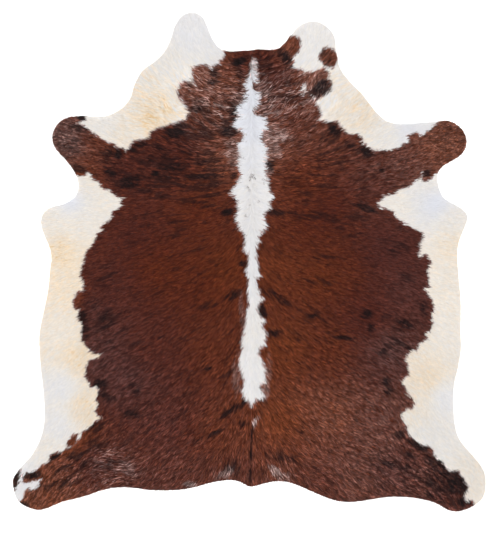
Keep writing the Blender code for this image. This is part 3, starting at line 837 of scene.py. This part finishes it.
def wisps():
    """How pale the brown is on the long pale strands, from 0 to 1."""
    pale = np.zeros(GRID_SHAPE)
    for row in WISPS:
        way_x, way_y = row.to_across - row.across, row.to_along - row.along
        lean = math.degrees(math.atan2(way_y, way_x))
        for place in np.linspace(0, 1, WISP_PLACES):
            bend = 4 * row.sag * place * (1 - place)
            x, y = row.across + way_x * place, row.along + way_y * place - bend
            thick = WISP_WIDTH * (WISP_END + (1 - WISP_END) * math.sin(math.pi * place))
            part, inside = ellipse(x, y, WISP_OVERLAP * thick, thick, lean)
            pale[part] = np.maximum(pale[part], row.share * smoothstep(*WISP_EDGE_SPAN, inside))
    return pale


def darkness(streaks, rough, mottle):
    """How dark the brown is, from 0 to 1: the patches, broken up by streaks along the hair."""
    patches = np.zeros(GRID_SHAPE)
    for row in DARK_PATCHES:
        part, inside = ellipse(row.across, row.along, row.half_long, row.half_wide, row.lean)
        patches[part] = np.maximum(patches[part], row.depth * smoothstep(*DARK_EDGE_SPAN, inside))
    patches = np.clip(patches + DARK_MOTTLE * (mottle - 0.5), 0, 1)
    broken = patches + DARK_STREAKS * (streaks - 0.5) + DARK_ROUGHNESS * (rough - 0.5)
    return smoothstep(*DARK_SPAN, broken) * grown(DARK_FAINT, patches)


class Coat:
    """Everything about the hair that depends on its place."""

    def __init__(self, rim):
        x, y = np.meshgrid(GRID_X, GRID_Y)
        self.edge = signed_distance(rim)
        self.top = packed_top()
        self.heading, self.length, self.wave, self.grain = lie_of_hair()
        self.brown = brown_depth()
        rough = 0.5 * (value_noise(ROUGH) + value_noise(CLUMPS))
        fine, curls, streaks = (drawn_noise(noise, self.heading) for noise in (STRANDS, CURLS, STREAKS))
        self.strands = fine + (curls - fine) * smoothstep(*CURLY_SPAN, self.wave)
        self.dark = darkness(streaks, rough, value_noise(MOTTLE))
        self.roan = roan_share(rough)
        self.wisps = wisps()
        self.brown_warmth, self.frost = blended(BROWN_WARMTHS, x, y, BROWN_SOFTNESS, "level", "frost")
        self.white_warmth = blended(WHITE_WARMTHS, x, y, WHITE_SOFTNESS, "level")[0]

    def nap(self, x, y):
        """The depth of the lying hair at the points."""
        return np.maximum(read(self.top, x, y) - SKIN_THICKNESS, LEAST_NAP)


# ---------------------------------------------------------------- meshes
def new_mesh(name, points, faces_by_size, smooth=True):
    """A mesh object from an array of points and arrays of faces, one array for each face size."""
    mesh = bpy.data.meshes.new(name)
    mesh.vertices.add(len(points))
    mesh.vertices.foreach_set("co", points.astype(np.float32).ravel())
    corners = np.concatenate([faces.ravel() for faces in faces_by_size])
    sizes = np.concatenate([np.full(len(faces), faces.shape[1]) for faces in faces_by_size])
    mesh.loops.add(len(corners))
    mesh.loops.foreach_set("vertex_index", corners.astype(np.int32))
    mesh.polygons.add(len(sizes))
    starts = np.concatenate(([0], np.cumsum(sizes)[:-1]))
    mesh.polygons.foreach_set("loop_start", starts.astype(np.int32))
    mesh.polygons.foreach_set("use_smooth", np.full(len(sizes), smooth))
    mesh.update(calc_edges=True)
    piece = bpy.data.objects.new(name, mesh)
    bpy.context.scene.collection.objects.link(piece)
    return piece


def paint(piece, **values):
    """Keeps each array as an attribute of the piece's points, for its material."""
    for name, numbers in values.items():
        attribute = piece.data.attributes.new(name, "FLOAT", "POINT")
        attribute.data.foreach_set("value", np.asarray(numbers, np.float32).ravel())


def triangles_within(ring, spacing, clearance, edge):
    """Points and triangles that fill a ring: its own points first, then an even lattice of others."""
    row_step = spacing * math.sqrt(3) / 2
    low, high = ring.min(axis=0), ring.max(axis=0)
    lattice = []
    for number, y in enumerate(np.arange(low[1], high[1], row_step)):
        x = np.arange(low[0] + spacing / 2 * (number % 2), high[0], spacing)
        lattice.append(np.stack((x, np.full(len(x), y)), axis=1))
    lattice = np.concatenate(lattice)
    lattice = lattice[read(edge, lattice[:, 0], lattice[:, 1]) > clearance]
    points = [Vector(p) for p in np.concatenate((ring, lattice))]
    border = [(i, (i + 1) % len(ring)) for i in range(len(ring))]
    found = delaunay_2d_cdt(points, border, [], INSIDE_ONLY, TINY)
    triangles = [face for face in found[2] if len(face) == 3]
    return np.array([tuple(p) for p in found[0]]), np.array(triangles)


def at_height(points, z):
    """Flat points lifted to one height, or each to its own."""
    return np.column_stack((points, np.broadcast_to(z, len(points))))


def build_skin(rim, coat):
    """The tanned skin: one closed sheet with a cut edge, a flat underside and the undercoat on top."""
    rings = [inset(rim, distance) for distance, _ in CUT_EDGE]
    bottom, bottom_faces = triangles_within(rings[0], UNDERSIDE_SPACING, UNDERSIDE_SPACING / 2, coat.edge)
    top, top_faces = triangles_within(
        inset(rim, TOP_INSET), TOP_SPACING, RIM_CLEARANCE + TOP_INSET, coat.edge
    )
    layers = [at_height(bottom, 0.0)]
    layers += [at_height(ring, z) for ring, (_, z) in zip(rings[1:], CUT_EDGE[1:])]
    layers.append(at_height(top, SKIN_THICKNESS + UNDERCOAT_SHARE * coat.nap(top[:, 0], top[:, 1])))
    starts = np.cumsum([0] + [len(layer) for layer in layers])
    here = np.arange(len(rim))
    onward = (here + 1) % len(rim)
    sides = [
        np.column_stack((low + here, low + onward, high + onward, high + here))
        for low, high in zip(starts[:-2], starts[1:-1])
    ]
    points = np.concatenate(layers)
    flat_faces = np.concatenate((bottom_faces[:, ::-1], top_faces + starts[-2]))
    skin = new_mesh("skin_sheet", points, (flat_faces, np.concatenate(sides)))
    skin.data.materials.append(suede_material())
    skin.data.materials.append(shaded_undercoat_material())
    slots = np.zeros(len(skin.data.polygons), np.int32)
    slots[len(bottom_faces) : len(flat_faces)] = UNDERCOAT_SLOT
    slots[len(flat_faces) + HAIRLESS_BANDS * len(rim) :] = UNDERCOAT_SLOT
    skin.data.polygons.foreach_set("material_index", slots)
    paint_skin(skin, points[:, 0], points[:, 1], coat)
    return skin


def paint_skin(skin, x, y, coat):
    """The undercoat's pigment, from the same fields as the locks."""
    brown = smoothstep(*UNDERCOAT_SPAN, read(coat.brown, x, y))
    paint(
        skin,
        brown=brown,
        dark=read(coat.dark, x, y),
        warmth=np.where(brown > 0.5, read(coat.brown_warmth, x, y), read(coat.white_warmth, x, y)),
        frost=read(coat.frost, x, y),
    )


# ---------------------------------------------------------------- locks of hair
def scatter(coat, rng):
    """The roots of the locks, one in each cell of a fine lattice, inside the rim."""
    x, y = np.meshgrid(
        np.arange(LOW[0], HIGH[0], LOCK_SPACING), np.arange(LOW[1], HIGH[1], LOCK_SPACING)
    )
    x = (x + rng.random(x.shape) * LOCK_SPACING).ravel()
    y = (y + rng.random(y.shape) * LOCK_SPACING).ravel()
    inside = read(coat.edge, x, y) > ROOT_CLEARANCE
    return x[inside], y[inside]


def nearest_tuft(x, y, heading_x, heading_y, cell, stretch):
    """Each lock's tuft, the nearest of a set of scattered middles, where nearness is stretched along
    the hair: the random numbers of the tuft, and the way across the hair to its middle."""
    rng = np.random.default_rng(TUFT_SEED)
    reach = math.ceil(stretch / 2) + 1
    column = np.floor((x - LOW[0]) / cell).astype(int) + reach
    row = np.floor((y - LOW[1]) / cell).astype(int) + reach
    shape = (row.max() + reach + 1, column.max() + reach + 1)
    shift_x, shift_y, *luck = rng.random((2 + len(TUFT_DRAWS),) + shape)
    nearest = np.full(len(x), np.inf)
    aside = np.zeros(len(x))
    own = np.zeros((len(luck), len(x)))
    for i in range(-reach, reach + 1):
        for j in range(-reach, reach + 1):
            r, c = row + i, column + j
            to_x = (c - reach + shift_x[r, c]) * cell + LOW[0] - x
            to_y = (r - reach + shift_y[r, c]) * cell + LOW[1] - y
            ahead = to_x * heading_x + to_y * heading_y
            across = to_y * heading_x - to_x * heading_y
            far = (ahead / stretch) ** 2 + across**2
            nearer = far < nearest
            nearest[nearer] = far[nearer]
            aside[nearer] = across[nearer]
            for number, values in enumerate(luck):
                own[number, nearer] = values[r, c][nearer]
    return own, aside


def tufts(x, y, heading_x, heading_y, wave):
    """The tufts of all locks: small ones in straight hair, and larger and longer ones in wavy hair."""
    luck, aside = nearest_tuft(x, y, heading_x, heading_y, TUFT_CELL, TUFT_STRETCH)
    curly = wave > CURLY
    luck[:, curly], aside[curly] = nearest_tuft(
        x[curly], y[curly], heading_x[curly], heading_y[curly], CURL_CELL, CURL_STRETCH
    )
    return dict(zip(TUFT_DRAWS, luck)), aside


def trimmed(length, x, y, along_x, along_y, edge):
    """The lengths of the locks, less where their tips would reach too far past the rim."""
    root_edge = read(edge, x, y)
    tip_edge = read(edge, x + length * along_x, y + length * along_y)
    room = (root_edge + OVERHANG) / np.maximum(root_edge - tip_edge, TINY)
    return length * np.where(tip_edge < -OVERHANG, np.clip(room, SHORTEST_TRIM, 1), 1)


def grow_locks(coat):
    """Every lock of the coat as arrays: its root, its shape and its pigment."""
    rng = np.random.default_rng(LOCK_SEED)
    x, y = scatter(coat, rng)
    heading_x, heading_y = read(coat.heading[0], x, y), read(coat.heading[1], x, y)
    wave = read(coat.wave, x, y)
    tuft, aside = tufts(x, y, heading_x, heading_y, wave)
    even = dict(zip(EVEN_DRAWS, rng.random((len(EVEN_DRAWS), len(x)))))
    normal = dict(zip(NORMAL_DRAWS, rng.standard_normal((len(NORMAL_DRAWS), len(x)))))

    turn = np.arctan2(heading_y, heading_x) + (tuft["turn"] - 0.5) * np.radians(grown(TUFT_TURN, wave))
    turn += normal["turn"] * np.radians(grown(LOCK_TURN, wave))
    along_x, along_y = np.cos(turn), np.sin(turn)
    length = read(coat.length, x, y) * (grown(LENGTHS, even["length"]) + TUFT_LENGTHS * tuft["shape"])
    length = trimmed(length, x, y, along_x, along_y, coat.edge)
    locks = {
        "x": x, "y": y, "along_x": along_x, "along_y": along_y, "length": length,
        "bend": (tuft["shape"] - 0.5) * grown(TUFT_BEND, wave) + LOCK_BEND * normal["turn"] * wave,
        "gather": aside * grown(GATHER, wave),
        "width": LOCK_WIDTH * grown(WIDTHS, even["width"]),
        "roll": np.radians(LOCK_ROLL) * (2 * even["roll"] - 1),
        "lift": grown(LIFTS, even["on_top"]) * (1 + WAVY_LIFT * wave * tuft["shape"]),
    }
    locks.update(pigments(locks, coat, tuft, even, normal))
    add_flecks(locks, even["frost"])
    return locks


def pigments(locks, coat, tuft, even, normal):
    """How brown, dark, warm and frosted each lock is, and its tone, from the place where it is seen. The tone
    and frost also hold painted highlights and painted shade between the locks.
    """
    x = locks["x"] + SEEN * locks["length"] * locks["along_x"]
    y = locks["y"] + SEEN * locks["length"] * locks["along_y"]
    wave = read(coat.wave, locks["x"], locks["y"])
    grain = read(coat.grain, locks["x"], locks["y"])
    wavy = smoothstep(*WAVY_SPAN, wave)
    strand = read(coat.strands, x, y) - 0.5

    near_spine = 1 - smoothstep(*SPINE_SPAN, np.abs(x - SPINE_ACROSS))
    ragged = strand * STRAND_RAG + (tuft["colour"] - 0.5) * grown(TUFT_RAG, wave) + normal["edge"] * LOCK_RAG
    brown = smoothstep(-1, 1, (read(coat.brown, x, y) + ragged) / grown(EDGE_BLUR, near_spine))
    dark = np.clip(read(coat.dark, x, y) * grown(DARKS, even["dark"]), 0, 1)
    on_top = smoothstep(*ROAN_TOP_SPAN, even["on_top"] + ROAN_STRANDS * strand)
    other = read(coat.roan, x, y) * (ROAN_ON_TOP * on_top + tuft["colour"])
    frost = read(coat.frost, x, y) * (grown(FROSTS, even["frost"]) + FROST_STRANDS * strand)
    # Pale strands on the top locks of wavy brown hair: pale tips and painted highlights.
    pale = smoothstep(*PALE_TOP_SPAN, even["on_top"]) * smoothstep(*PALE_TUFT_SPAN, tuft["colour"])
    frost += PALE_STRANDS_AND_HIGHLIGHTS * wavy * pale
    frost = np.maximum(frost, read(coat.wisps, x, y) * grown(WISP_FROSTS, even["frost"]))
    frost = np.clip(np.maximum(frost, other) * (1 - DARK_UNFROSTED * dark), 0, MOST_FROST)
    brown = np.maximum(brown, np.clip(other, 0, ROAN_BROWN))
    mixed = brown > MIXED
    frost = np.where(mixed, 1 - (1 - frost) * brown, frost)
    brown = np.where(mixed, 1, brown)
    white = brown < MIXED

    brown_warmth = read(coat.brown_warmth, x, y) + BROWN_WARMTH_SPREAD * (normal["warmth"] + strand)
    golden = GOLDEN_TUFTS * (tuft["colour"] - 0.5) + GOLDEN_STRANDS * strand + GOLDEN_LOCKS * normal["warmth"]
    white_warmth = read(coat.white_warmth, x, y) * (1 + grown(GOLDEN_BY_WAVE, wave) * golden)
    warmth = np.clip(np.where(white, WHITE_WARMTH * white_warmth, brown_warmth), 0, 1)

    white_grain = WHITE_GRAIN * grown(WHITE_GRAIN_BY_WARMTH, warmth) * grown(WHITE_GRAIN_BY_WAVE, wave)
    contrast = np.where(white, white_grain, grain)
    shared = grown(SHARED_TONE, wavy)
    # Locks drawn to lie higher get a lighter tone and lower ones a darker tone: painted light and shade
    # between the locks, added to the random tone.
    tone = grown(OWN_TONE, shared) * (even["tone"] + even["on_top"] - 1)
    tone += shared * (TONE_TUFTS * (tuft["turn"] - 0.5) + TONE_STRANDS * strand)
    tone = np.exp(contrast * tone - TONE_BALANCE * contrast**2)
    # Painted highlight: the brightest wavy brown locks are dimmed and mixed towards the frost colour.
    glint = np.where(white, 0, wavy * (1 - dark) * np.maximum(tone - GLINT_FROM, 0))
    tone -= GLINT_DIMMED * glint
    frost = np.minimum(frost + GLINT_FROST * glint, np.maximum(frost, MOST_FROST))
    return {"brown": brown, "dark": dark, "warmth": warmth, "frost": frost, "tone": tone}


def add_flecks(locks, chance):
    """Makes the locks at the stripe's flecks short, high and partly brown."""
    for fleck in STRIPE_FLECKS:
        away = np.hypot(locks["x"] - fleck.across * MM, locks["y"] - fleck.along * MM)
        close = away < fleck.radius * MM
        locks["brown"][close] = FLECK_BROWN * (0.5 + chance[close])
        locks["length"][close] = FLECK_LENGTH
        locks["lift"][close] = FLECK_LIFT


def section(locks, coat, place, width, rise):
    """The middles and half widths of all locks at one place along them, from 0 at the root to 1."""
    side_x, side_y = -locks["along_y"], locks["along_x"]
    ahead = locks["length"] * place
    aside = locks["bend"] * locks["length"] * place**2 * 0.5 + locks["gather"] * smoothstep(0, 1, place)
    x = locks["x"] + locks["along_x"] * ahead + side_x * aside
    y = locks["y"] + locks["along_y"] * ahead + side_y * aside
    root = UNDERCOAT_SHARE - ROOT_DEPTH
    z = SKIN_THICKNESS + coat.nap(x, y) * (root + (1 - root) * rise * locks["lift"])
    across = np.cos(locks["roll"])
    middle = np.stack((x, y, z), axis=1)
    reach = np.stack((side_x * across, side_y * across, np.sin(locks["roll"])), axis=1)
    return middle, reach * (locks["width"] * width / 2)[:, None]


def lock_points(locks, coat, sections):
    """The points of the locks, one lock after the other, and the place of each along its lock."""
    rows, places = [], []
    for place, width, rise in sections:
        middle, reach = section(locks, coat, place, width, rise)
        if width:
            rows += [middle - reach, middle + reach]
            places += [place, place]
        else:
            rows.append(middle)
            places.append(place)
    return np.stack(rows, axis=1).reshape(-1, 3), places


def lock_faces(count, sections, first):
    """The quads and triangles of a number of locks whose points follow each other from first on."""
    points_each = 2 * (sections - 1) + 1
    base = first + points_each * np.arange(count)[:, None]
    quads = [base + np.array((2 * n, 2 * n + 2, 2 * n + 3, 2 * n + 1)) for n in range(sections - 2)]
    last = 2 * (sections - 2)
    return np.concatenate(quads), base + np.array((last, last + 2, last + 1))


def build_coat_piece(area, locks, coat):
    """One piece of the coat: the locks of an area, joined."""
    here = (locks["x"] >= area.left * MM) & (locks["x"] < area.right * MM)
    here &= (locks["y"] >= area.tail * MM) & (locks["y"] < area.head * MM)
    points, quads, triangles, cells = [], [], [], []
    pigment = {name: [] for name in ("brown", "dark", "warmth", "frost", "tone")}
    tipward = []
    first = 0
    for chosen, sections in (
        (here & (locks["length"] < LONG_LOCK), SHORT_SECTIONS),
        (here & (locks["length"] >= LONG_LOCK), LONG_SECTIONS),
    ):
        some = {name: values[chosen] for name, values in locks.items()}
        count = int(chosen.sum())
        more_points, places = lock_points(some, coat, sections)
        more_quads, more_triangles = lock_faces(count, len(sections), first)
        points.append(more_points)
        quads.append(more_quads)
        triangles.append(more_triangles)
        for name, values in pigment.items():
            values.append(np.repeat(some[name], len(places)))
        tipward.append(np.tile(places, count))
        sides = [n % 2 for n in range(len(places) - 1)] + [0.5]
        cells.append((some["x"], some["y"], np.array(sides), np.array(places)))
        first += len(more_points)
    piece = new_mesh(area.piece, np.concatenate(points), (np.concatenate(quads), np.concatenate(triangles)))
    paint(piece, **{name: np.concatenate(values) for name, values in pigment.items()})
    paint(piece, tipward=np.concatenate(tipward))
    lay_out_cells(piece, cells)
    piece.data.materials.append(HAIR)
    return piece


def lay_out_cells(piece, cells):
    """A texture map with a cell of its own for each lock, in the order in which they lie."""
    x = np.concatenate([cell[0] for cell in cells])
    y = np.concatenate([cell[1] for cell in cells])
    columns = math.ceil(math.sqrt(len(x)))
    rank_of_row = np.argsort(np.argsort(y, kind="stable"), kind="stable") // columns
    order = np.lexsort((x, rank_of_row))
    rank = np.empty(len(x), int)
    rank[order] = np.arange(len(x))
    u0, v0 = rank % columns, rank // columns
    used = 1 - 2 * CELL_MARGIN
    places, first = [], 0
    for cell_x, _, sides, along in cells:
        last = first + len(cell_x)
        u = (u0[first:last, None] + CELL_MARGIN + used * sides[None, :]) / columns
        v = (v0[first:last, None] + CELL_MARGIN + used * along[None, :]) / columns
        places.append(np.stack((u, v), axis=2).reshape(-1, 2))
        first = last
    places = np.concatenate(places)
    corners = np.empty(len(piece.data.loops), np.int32)
    piece.data.loops.foreach_get("vertex_index", corners)
    layer = piece.data.uv_layers.new(name="OFBake")
    layer.data.foreach_set("uv", places[corners].astype(np.float32).ravel())


# ---------------------------------------------------------------- materials
def srgb(red, green, blue):
    """A colour as a picture holds it, from 0 to 255, in the renderer's linear values."""
    share = np.array((red, green, blue)) / 255
    linear = np.where(share <= 0.04045, share / 12.92, ((share + 0.055) / 1.055) ** 2.4)
    return (*linear.tolist(), 1.0)


PLUM = srgb(78, 39, 34)
MAHOGANY = srgb(80, 30, 14)
CHESTNUT = srgb(117, 57, 27)
BLACK_BROWN = srgb(20, 12, 13)
# The white in frosted brown hair, also used for painted highlights on wavy brown hair.
FROST_AND_HIGHLIGHT = srgb(224, 207, 204)
BLUE_WHITE = srgb(232, 234, 242)
OFF_WHITE = srgb(242, 237, 231)
CREAM = srgb(244, 224, 196)
GOLDEN = srgb(228, 198, 148)
SUEDE = srgb(214, 200, 180)
SUEDE_SHADE = srgb(176, 156, 132)
# Colours by warmth.
BROWNS = ((0, PLUM), (0.45, MAHOGANY), (1, CHESTNUT))
WHITES = ((0, BLUE_WHITE), (0.35, OFF_WHITE), (0.85, CREAM), (1, GOLDEN))

# Spans that noise, or the way from root to tip, is set to.
WHITE_TIP_TONE = (0.97, 1.0)
BROWN_TIP_TONE = (0.75, 1.12)
HAIR_ROUGHNESS = (0.40, 0.62)
# The undercoat's grain, held under 1: grain and painted shade between the locks, far darker under brown.
WHITE_GRAIN_AND_SHADE = (0.82, 0.98)
BROWN_GRAIN_AND_SHADE = (0.4, 0.9)
SUEDE_TONE = (0.85, 1.1)
SUEDE_ROUGHNESS = (0.82, 0.98)

MIX_SOCKETS = {"FLOAT": (2, 3, 0), "RGBA": (6, 7, 2)}  # of a mix node: low, high and the output


class Graph:
    """The nodes of a material or a world, added with few words."""

    def __init__(self, owner, shader="Principled BSDF"):
        owner.use_nodes = True
        self.owner = owner
        self.tree = owner.node_tree
        self.shader = self.tree.nodes[shader]

    def feed(self, socket, value):
        """Links a socket, or sets it if the value is a plain one."""
        if isinstance(value, bpy.types.NodeSocket):
            self.tree.links.new(value, socket)
        else:
            socket.default_value = value

    def surface(self, values):
        """Feeds the shader's sockets by name."""
        for name, value in values.items():
            self.feed(self.shader.inputs[name], value)

    def node(self, kind, inputs, output=0, **settings):
        """Adds a node with its settings, feeds its inputs and gives back one of its outputs."""
        made = self.tree.nodes.new("ShaderNode" + kind)
        for name, value in settings.items():
            setattr(made, name, value)
        for socket, value in inputs.items():
            self.feed(made.inputs[socket], value)
        return made.outputs[output]

    def attribute(self, name):
        """A number that was kept with paint."""
        return self.node("Attribute", {}, "Fac", attribute_name=name)

    def mix(self, share, low, high, kind="RGBA"):
        """The low colour or number where the share is 0, and the high one where it is 1."""
        low_socket, high_socket, output = MIX_SOCKETS[kind]
        return self.node("Mix", {0: share, low_socket: low, high_socket: high}, output, data_type=kind)

    def ramp(self, share, colours):
        """Colours in a row, each with its place from 0 to 1."""
        colour = self.node("ValToRGB", {0: share})
        stops = colour.node.color_ramp.elements
        while len(stops) < len(colours):
            stops.new(0.5)
        for stop, (place, shade) in zip(stops, colours):
            stop.position = place
            stop.color = shade
        return colour

    def span(self, value, low, high):
        """The value from 0 to 1 moved to the span from low to high."""
        return self.node("MapRange", {"Value": value, "To Min": low, "To Max": high})

    def product(self, first, second):
        """Two numbers multiplied."""
        return self.node("Math", {0: first, 1: second}, operation="MULTIPLY")

    def brighten(self, colour, factor):
        """The colour made as many times as bright."""
        return self.node("HueSaturation", {"Color": colour, "Value": factor})

    def noise(self, scale, detail=2.0):
        """Cloudy noise through the piece."""
        where = self.node("TexCoord", {}, "Object")
        return self.node("TexNoise", {"Scale": scale, "Detail": detail, "Vector": where}, "Fac")

    def bump(self, height, strength, distance):
        """Small bumps on the surface, up to a distance high."""
        normal = self.node("Bump", {"Strength": strength, "Distance": distance, "Height": height})
        self.surface({"Normal": normal})


def new_material(name):
    """The graph of a new material."""
    return Graph(bpy.data.materials.new(name))


def pigment_colour(graph):
    """The hair's colour: brown from plum to chestnut with its dark and frosted places, or white. The frost
    also carries painted highlights.
    """
    warmth = graph.attribute("warmth")
    brown = graph.mix(graph.attribute("dark"), graph.ramp(warmth, BROWNS), BLACK_BROWN)
    brown = graph.mix(graph.attribute("frost"), brown, FROST_AND_HIGHLIGHT)
    return graph.mix(graph.attribute("brown"), graph.ramp(warmth, WHITES), brown)


def hair_material():
    """Glossy cattle hair: each lock has its own tone, darker at the root than at the tip. The tone also holds
    painted highlight and painted shade between the locks.
    """
    graph = new_material("cattle_hair")
    tipward = graph.attribute("tipward")
    white_tone, brown_tone = graph.span(tipward, *WHITE_TIP_TONE), graph.span(tipward, *BROWN_TIP_TONE)
    tip_tone = graph.mix(graph.attribute("brown"), white_tone, brown_tone, "FLOAT")
    colour = graph.brighten(pigment_colour(graph), graph.product(graph.attribute("tone"), tip_tone))
    gloss = graph.span(graph.noise(scale=160.0), *HAIR_ROUGHNESS)
    graph.surface({"Base Color": colour, "Roughness": gloss, "Specular IOR Level": 0.1})
    graph.bump(graph.noise(scale=900.0), strength=0.35, distance=0.3 * MM)
    return graph.owner


def shaded_undercoat_material():
    """The short dense hair close to the skin, seen between the locks, painted darker as the shade that falls
    between them.
    """
    graph = new_material("undercoat")
    grain = graph.noise(scale=420.0, detail=4.0)
    # Painted shade: the undercoat's pigment is darkened by its grain, brown far more than white.
    white_tone, brown_tone = graph.span(grain, *WHITE_GRAIN_AND_SHADE), graph.span(grain, *BROWN_GRAIN_AND_SHADE)
    tone = graph.mix(graph.attribute("brown"), white_tone, brown_tone, "FLOAT")
    graph.surface({"Base Color": graph.brighten(pigment_colour(graph), tone), "Roughness": 0.75})
    graph.bump(grain, strength=0.8, distance=1.0 * MM)
    return graph.owner


def suede_material():
    """The tanned flesh side and the cut edge."""
    graph = new_material("suede")
    cloud = graph.noise(scale=9.0, detail=3.0)
    nap = graph.noise(scale=700.0, detail=3.0)
    colour = graph.brighten(graph.mix(cloud, SUEDE, SUEDE_SHADE), graph.span(nap, *SUEDE_TONE))
    roughness = graph.span(nap, *SUEDE_ROUGHNESS)
    graph.surface({"Base Color": colour, "Roughness": roughness, "Sheen Weight": 0.25})
    graph.bump(nap, strength=0.6, distance=0.4 * MM)
    return graph.owner


def floor_material():
    """Plain pale card. A faint glow evens it out where the lights don't reach."""
    graph = new_material("floor")
    graph.surface({
        "Base Color": srgb(250, 250, 250),
        "Roughness": 0.9,
        "Specular IOR Level": 0.1,
        "Emission Color": (1, 1, 1, 1),
        "Emission Strength": 0.55,
    })
    graph.owner.cycles.emission_sampling = "NONE"
    return graph.owner


HAIR = hair_material()

# ---------------------------------------------------------------- stage
PHOTO_PIXEL = 4.4 * MM  # what one pixel of the photograph covers on the hide
PHOTO_SIZE = (500, 536)
PHOTO_CENTRE = (249.5, 261.95)  # the pixel of the photograph that shows the middle of the hide
SENSOR = 36.0
LENS = 85.0

FLOOR_HALF = 60.0
FLOOR_GAP = 0.3 * MM
LIGHT_SIZE = 2.4
LIGHT_HEIGHT = 3.4
Light = namedtuple("Light", "name x y power")
LIGHTS = (
    Light("head_light", 0.6, 4.0, 112),
    Light("tail_light", 0.0, -4.0, 98),
    Light("left_light", -4.0, 0.0, 107),
    Light("right_light", 4.0, 0.0, 85),
)
# From how far up a direction points, the strength of the studio's light from there.
WORLD_STRENGTH = {"From Min": 0.1, "From Max": 0.7, "To Min": 0.8, "To Max": 0.12}


def build_camera():
    """The photograph's view: straight down, from far enough for its long side."""
    data = bpy.data.cameras.new("camera")
    data.sensor_width, data.lens = SENSOR, LENS
    camera = bpy.data.objects.new("camera", data)
    distance = PHOTO_SIZE[1] * PHOTO_PIXEL * LENS / SENSOR
    across = (PHOTO_SIZE[0] / 2 - PHOTO_CENTRE[0]) * PHOTO_PIXEL
    along = (PHOTO_CENTRE[1] - PHOTO_SIZE[1] / 2) * PHOTO_PIXEL
    camera.location = (across, along, CAD_BOX[1].z + distance)
    bpy.context.scene.collection.objects.link(camera)
    bpy.context.scene.camera = camera


def build_floor():
    """A wide plain floor, just under the hide."""
    corners = [(x * FLOOR_HALF, y * FLOOR_HALF, -FLOOR_GAP) for x, y in ((-1, -1), (1, -1), (1, 1), (-1, 1))]
    floor = new_mesh("floor", np.array(corners), (np.array([(0, 1, 2, 3)]),), smooth=False)
    floor.data.materials.append(floor_material())


def build_lights():
    """Large square lights that point at the hide and don't show themselves."""
    for row in LIGHTS:
        data = bpy.data.lights.new(row.name, "AREA")
        data.size, data.energy = LIGHT_SIZE, row.power
        light = bpy.data.objects.new(row.name, data)
        light.location = (row.x, row.y, LIGHT_HEIGHT)
        light.rotation_euler = (-light.location).to_track_quat("-Z", "Y").to_euler()
        light.visible_camera = False
        bpy.context.scene.collection.objects.link(light)


def build_world():
    """A studio that is bright round the horizon and dim overhead, where a flat hide would mirror it."""
    graph = Graph(bpy.data.worlds.new("studio"), "Background")
    direction = graph.node("TexCoord", {}, "Generated")
    height = graph.node("SeparateXYZ", {0: direction}, "Z")
    graph.surface({
        "Color": (1, 1, 1, 1),
        "Strength": graph.node("MapRange", {"Value": height, **WORLD_STRENGTH}),
    })
    bpy.context.scene.world = graph.owner


def build_stage():
    """The camera, the floor, the lights and the studio round them."""
    build_camera()
    build_floor()
    build_world()
    build_lights()
    bpy.context.scene.view_settings.view_transform = "Standard"


# ---------------------------------------------------------------- the rug
def main():
    """The stage, the skin and the coat, and what they take the place of."""
    build_stage()
    rim = finer(packed_rim(), RIM_STEPS)
    coat = Coat(rim)
    skin = build_skin(rim, coat)
    locks = grow_locks(coat)
    pieces = [build_coat_piece(area, locks, coat) for area in COAT_AREAS]
    for piece in [skin, *pieces]:
        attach(piece, "root")
        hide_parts("hide")


main()
